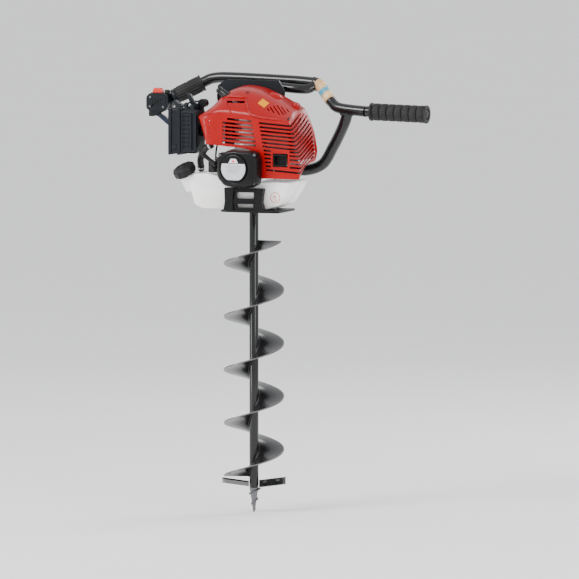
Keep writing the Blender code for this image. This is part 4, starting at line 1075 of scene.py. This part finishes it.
lumps = [lathe([(0.01, -0.0145), (0.0112, -0.013), (0.0112, -0.0105), (0.0095, -0.0092), (0.003, -0.0092)],
    (-0.0905, -0.101, 1.011), alongY, 36)]
piece("cableClampFace", merge(*lumps), black, bevel=0.0006)
print("air cleaner")


# Throttle housing and its controls

body = plate(rounded([(-0.272, 0.99), (-0.266, 0.9845), (-0.22, 0.9845), (-0.2135, 0.996), (-0.215, 1.02),
    (-0.223, 1.0268), (-0.264, 1.0268), (-0.272, 1.018)], 0.0045), -0.034, 0.008)
body = cutEach(body, [lathe([(0.0074, 1.022), (0.0074, 1.04)], (-0.224, -0.014, 0), up, 28)])
panels = [plate(rounded([(-0.267, 0.992), (-0.262, 0.989), (-0.224, 0.989), (-0.219, 0.997), (-0.22, 1.017),
    (-0.226, 1.0225), (-0.261, 1.0225), (-0.267, 1.016)], 0.004), -0.035, -0.033),
    box((-0.2719, -0.0136, 0.987), (-0.2128, -0.0126, 1.02)),
    box((-0.264, -0.025, 1.0262), (-0.232, -0.003, 1.0276))]
stand("throttleHousingShell", merge(body, *panels), blueBlack, "throttle_housing", bevel=0.0009, segments=3,
    smooth=40)
row("throttleGrooves", box((-0.0008, -0.0006, -0.0085), (0.0008, 0.0006, 0.0085)), black, 6,
    (-0.256, -0.0352, 1.006), (0.0042, 0, 0))
cheeks = [plate(rounded([(-0.27, 0.969), (-0.256, 0.969), (-0.24, 0.979), (-0.22, 0.988), (-0.27, 0.99)],
    0.003), y, y + 0.0018) for y in (-0.0225, -0.0048)]
piece("triggerCheeks", merge(*cheeks), blueBlack, bevel=0.0005)
heads = [lathe([(0.0031, -0.0335), (0.0031, -0.0362), (0.0026, -0.0368), (0.0012, -0.0358),
    (0.0003, -0.0358)],
    (x, 0, z), alongY, 20) for x, z in ((-0.2615, 0.9945), (-0.2265, 0.994), (-0.2605, 1.0175))]
piece("throttleScrews", merge(*heads), darkSteel)
switchRibs = [box((-0.2575 + 0.0042 * i, -0.0222, 1.0376), (-0.2555 + 0.0042 * i, -0.0058, 1.0388))
    for i in range(5)]
stand("stopSwitchCap", merge(plate(rounded([(-0.26, 1.0274), (-0.236, 1.0274), (-0.2375, 1.035),
    (-0.2405, 1.038), (-0.256, 1.038), (-0.259, 1.0345)], 0.0015), -0.0228, -0.0052), *switchRibs),
    switchRed, "stop_switch", bevel=0.0005)
frame["nodes"]["trigger_lock"].data.materials[0] = greenish
frame["nodes"]["throttle_trigger"].data.materials[0] = navy
triggerLine = rounded([(-0.2655, 0.9825), (-0.2542, 0.9822), (-0.23, 0.9698), (-0.2103, 0.9519),
    (-0.2131, 0.9453), (-0.224, 0.9503), (-0.248, 0.9693), (-0.2655, 0.9722)], 0.0022)
stand("triggerLever", plate(triggerLine, -0.0188, -0.0072), navy, "throttle_trigger", bevel=0.0014,
    segments=3)
piece("triggerPin", lathe([(0.0022, -0.0205), (0.0022, -0.0055)], (-0.26, 0, 0.9765), alongY, 20), darkSteel,
    "trigger")
print("throttle")


# Engine inside the cover

fins = {"count": 13, "lowest": (0.0315, -0.11, 0.9), "step": 0.0065, "radius": 0.0349, "bore": 0.02}
finDisc = lathe([(fins["bore"], -0.0006), (fins["radius"], -0.0005), (fins["radius"], 0.0005),
    (fins["bore"], 0.0006)], (0, 0, 0), up, 40, True)
row("cylinderFins", finDisc, finMetal, fins["count"], fins["lowest"], (0, 0, fins["step"]))
dome = [lathe([(0.023, 0.98), (0.023, 0.988), (0.019, 0.995), (0.01, 0.9975)], (0.0315, -0.11, 0), up, 40)]
dome += [box((0.0315 + 0.0055 * i - 0.0007, -0.133, 0.984), (0.0315 + 0.0055 * i + 0.0007, -0.087, 1.0))
    for i in (-3, -2, -1, 1, 2, 3)]
piece("cylinderHead", merge(*dome), finMetal, bevel=0.0004)
seams = [box((0.0895, -0.1586, 0.906), (0.1555, -0.0834, 0.9085)),
    lathe([(0.005, -0.1585), (0.005, -0.16), (0.003, -0.1605)], (0.105, 0, 0.94), alongY, 6),
    lathe([(0.005, -0.1585), (0.005, -0.16), (0.003, -0.1605)], (0.145, 0, 0.94), alongY, 6)]
piece("mufflerSeam", merge(*seams), exhaustSteel, bevel=0.0004)
outlet = carve(plate(roundRect(0.1215, 0.8675, 0.1555, 0.8955, 0.003), -0.173, -0.17),
    plate(roundRect(0.125, 0.8705, 0.152, 0.8925, 0.002), -0.18, -0.16))
louvres = [box((0.125, -0.1715 + 0.0018 * i, 0.8745 + 0.006 * i),
    (0.152, -0.17 + 0.0018 * i, 0.8755 + 0.006 * i)) for i in range(3)]
piece("outletFrame", merge(outlet, *louvres), black, bevel=0.0004)

brass = metal("brassFitting", (0.62, 0.42, 0.16), 0.32, scale=500.0)
fittings = [lathe([(0.0032, 0.0), (0.0032, 0.005), (0.0024, 0.0058)], (x, -0.137, z), (0, -1, 0), 6)
    for x, z in ((-0.056, 0.95), (-0.035, 0.956))]
fittings.append(lathe([(0.0022, 0.0), (0.0022, 0.011), (0.003, 0.0115), (0.0022, 0.013)],
    (-0.03, -0.137, 0.929), (0, -1, 0), 16))
piece("carburettorScrews", merge(*fittings), brass)
lever = [sweep(smoothPath([(-0.062, -0.139, 0.942), (-0.048, -0.14, 0.95), (-0.033, -0.1395, 0.94)], 6),
    0.0012, 8), box((-0.0655, -0.1402, 0.924), (-0.06, -0.138, 0.944)),
    box((-0.029, -0.1495, 0.92), (-0.0235, -0.137, 0.923))]
piece("carburettorLevers", merge(*lever), steel, bevel=0.0003)
flanges = [plate(roundRect(-0.066, 0.919, -0.062, 0.969, 0.001), -0.1375, -0.0925),
    plate(roundRect(-0.0265, 0.919, -0.0232, 0.969, 0.001), -0.1375, -0.0925)]
piece("carburettorFlanges", merge(*flanges), alloy, bevel=0.0004)


# Hose, plug boot, cable and pull handle

hose = {"radius": 0.0084, "points": [(-0.096, -0.106, 0.849), (-0.088, -0.128, 0.878),
    (-0.068, -0.146, 0.903), (-0.05, -0.15, 0.913)]}
hosePath = smoothPath(hose["points"], 14)
stand("ventHoseTube", sweep(hosePath, hose["radius"], 28), hoseRubber, "vent_hose", smooth=50)
clips = []
for i in (3, len(hosePath) - 5):
    ahead = (hosePath[i + 1] - hosePath[i]).normalized()
    clips.append(lathe([(0.0082, -0.0022), (0.0091, -0.002), (0.0091, 0.002), (0.0082, 0.0022)], hosePath[i],
        ahead, 28, True))
piece("hoseClips", merge(*clips), steel, smooth=50)
bootAt, bootWay = Vector(cover["boot"]), Vector(cover["bootWay"]).normalized()
bootProfile = [(0.004, 0.0004), (0.0074, 0.0012), (0.0086, 0.004), (0.0088, 0.009), (0.0078, 0.0105),
    (0.0078, 0.0125), (0.0088, 0.014), (0.009, 0.03), (0.0094, 0.046), (0.0094, 0.0495), (0.008, 0.0499)]
stand("plugBootRubber", lathe(bootProfile, bootAt, bootWay, 36), hoseRubber, "plug_boot", smooth=36)
leadPath = smoothPath([bootAt + bootWay * 0.004 + Vector((0, 0.006, -0.002)),
    bootAt + Vector((-0.004, 0.016, -0.01)),
    (-0.06, -0.082, 1.02), (-0.058, -0.07, 0.99), (-0.05, -0.064, 0.968)], 8)
piece("plugLead", sweep(leadPath, 0.0034, 16), hoseRubber, smooth=50)

pull = {"centre": (-0.0395, -0.1925, 0.881), "way": (0.8, 0, -0.6)}
pullProfile = []
for i in range(25):
    t = -1 + i / 12
    waist = 0.0049 + 0.0013 * abs(t) ** 1.5 - (0.0045 * max(0.0, abs(t) - 0.9) * 10)
    pullProfile.append((max(0.0016, waist), 0.0238 * t))
stand("pullHandleGrip", merge(lathe(pullProfile, pull["centre"], pull["way"], 28),
    *[lathe([(0.005, t - 0.0007), (0.006, t - 0.0004), (0.006, t + 0.0004),
    (0.005, t + 0.0007)], pull["centre"], pull["way"], 24)
    for t in (-0.015, -0.01, 0.01, 0.015)]), black, "pull_handle", smooth=50)
print("engine")


# Gearbox, back plate and bolts

def hexBolt(radius=0.0045, height=0.0032):
    head = lathe([(radius, 0.0), (radius, height * 0.85), (radius * 0.86, height)], (0, 0, 0), up, 6)
    washer = lathe([(radius * 1.35, 0.0), (radius * 1.35, height * 0.25)], (0, 0, 0), up, 24)
    return merge(head, washer)


for y in (-0.033, 0.033):
    row(f"gearboxBolts{'Front' if y < 0 else 'Rear'}", hexBolt(), steel, 3, (-0.029, y, 0.9), (0.037, 0, 0))
ribFin = box((-0.0008, -0.002, -0.021), (0.0008, 0.002, 0.021))
row("gearboxRibs", ribFin, alloy, 7, (-0.022, 0.0405, 0.86), (0.01, 0, 0))
gasket = plate(roundRect(-0.0366, -0.0406, 0.0526, 0.0406, 0.004), 0.8882, 0.8896, "z")
piece("gearboxGasket", gasket, textured)
filler = merge(lathe([(0.0072, 0.8995), (0.0072, 0.903), (0.005, 0.9042)], (0.03, 0.018, 0), up, 24),
    lathe([(0.004, 0.904), (0.004, 0.9065), (0.003, 0.907)], (0.03, 0.018, 0), up, 6))
piece("gearboxFiller", filler, darkSteel)
edgeBars = [box((-0.06, -0.03, 1.06), (0.08, -0.0265, 1.064)),
    box((-0.056, -0.03, 0.904), (0.072, -0.0265, 0.9075)),
    box((-0.076, -0.03, 0.94), (-0.0725, -0.0265, 1.04)), box((0.086, -0.03, 0.94), (0.0895, -0.0265, 1.03))]
edgeBars += [box((-0.07, -0.03, z), (0.085, -0.028, z + 0.0022)) for z in (0.95, 0.985, 1.02)]
piece("backPlateRibs", merge(*edgeBars), blueBlack, bevel=0.0006)
for side, x in (("Left", -0.062), ("Right", 0.072)):
    seedBolt = hexBolt(0.0042, 0.003)
    stood = alongY.rotation_difference(up).inverted().to_matrix()
    bmesh.ops.rotate(seedBolt, verts=seedBolt.verts, matrix=stood)
    row(f"plateBolts{side}", seedBolt, steel, 3, (x, -0.0298, 0.93), (0, 0, 0.05))
print("gearbox")


# Floor, light and camera

stageLook = {"floorSize": 60.0, "floorTone": (0.95, 0.95, 0.94), "worldTone": (0.97, 0.98, 1.0),
    "worldLight": 1.15}
floorMaterial = Maker("studioFloor", Roughness=0.75)
floorMaterial.give(Base_Color=floorMaterial.mix(floorMaterial.noise(3.0, 6.0), stageLook["floorTone"],
    tuple(c * 0.96 for c in stageLook["floorTone"])))
half = stageLook["floorSize"] / 2
floorMesh = bpy.data.meshes.new("floor")
sheet = bmesh.new()
bmesh.ops.create_grid(sheet, size=half)
sheet.to_mesh(floorMesh)
sheet.free()
floor = bpy.data.objects.new("floor", floorMesh)
floorMesh.materials.append(floorMaterial.material)
bpy.context.scene.collection.objects.link(floor)
floor.location.z = -0.001

world = bpy.data.worlds.new("studio")
world.use_nodes = True
world.node_tree.nodes["Background"].inputs["Color"].default_value = (*stageLook["worldTone"], 1.0)
world.node_tree.nodes["Background"].inputs["Strength"].default_value = stageLook["worldLight"]
bpy.context.scene.world = world

lamps = {"keyLight": ((-1.4, -2.6, 3.1), 1.4, 110.0), "fillLight": ((2.9, -1.8, 1.3), 1.6, 40.0),
    "rimLight": ((1.2, 2.6, 2.4), 1.6, 60.0), "lowLight": ((-2.2, -2.0, 0.35), 0.8, 22.0)}
aim = Vector((0.05, -0.05, 0.75))
for name, (place, size, power) in lamps.items():
    light = bpy.data.lights.new(name, "AREA")
    light.energy, light.size = power, size
    lamp = bpy.data.objects.new(name, light)
    lamp.location = place
    lamp.rotation_euler = (aim - Vector(place)).to_track_quat("-Z", "Y").to_euler()
    bpy.context.scene.collection.objects.link(lamp)

shot = {"target": (0.063, 0.077, 0.544), "azimuth": 22.0, "elevation": 5.0, "distance": 24.0, "width": 1.424}
turn, lift = math.radians(shot["azimuth"]), math.radians(shot["elevation"])
back = Vector((math.sin(turn) * math.cos(lift), -math.cos(turn) * math.cos(lift), math.sin(lift)))
lens = bpy.data.cameras.new("camera")
lens.sensor_width = 36.0
lens.lens = lens.sensor_width * shot["distance"] / shot["width"]
camera = bpy.data.objects.new("camera", lens)
camera.location = Vector(shot["target"]) + back * shot["distance"]
camera.rotation_euler = (-back).to_track_quat("-Z", "Y").to_euler()
bpy.context.scene.collection.objects.link(camera)
bpy.context.scene.camera = camera
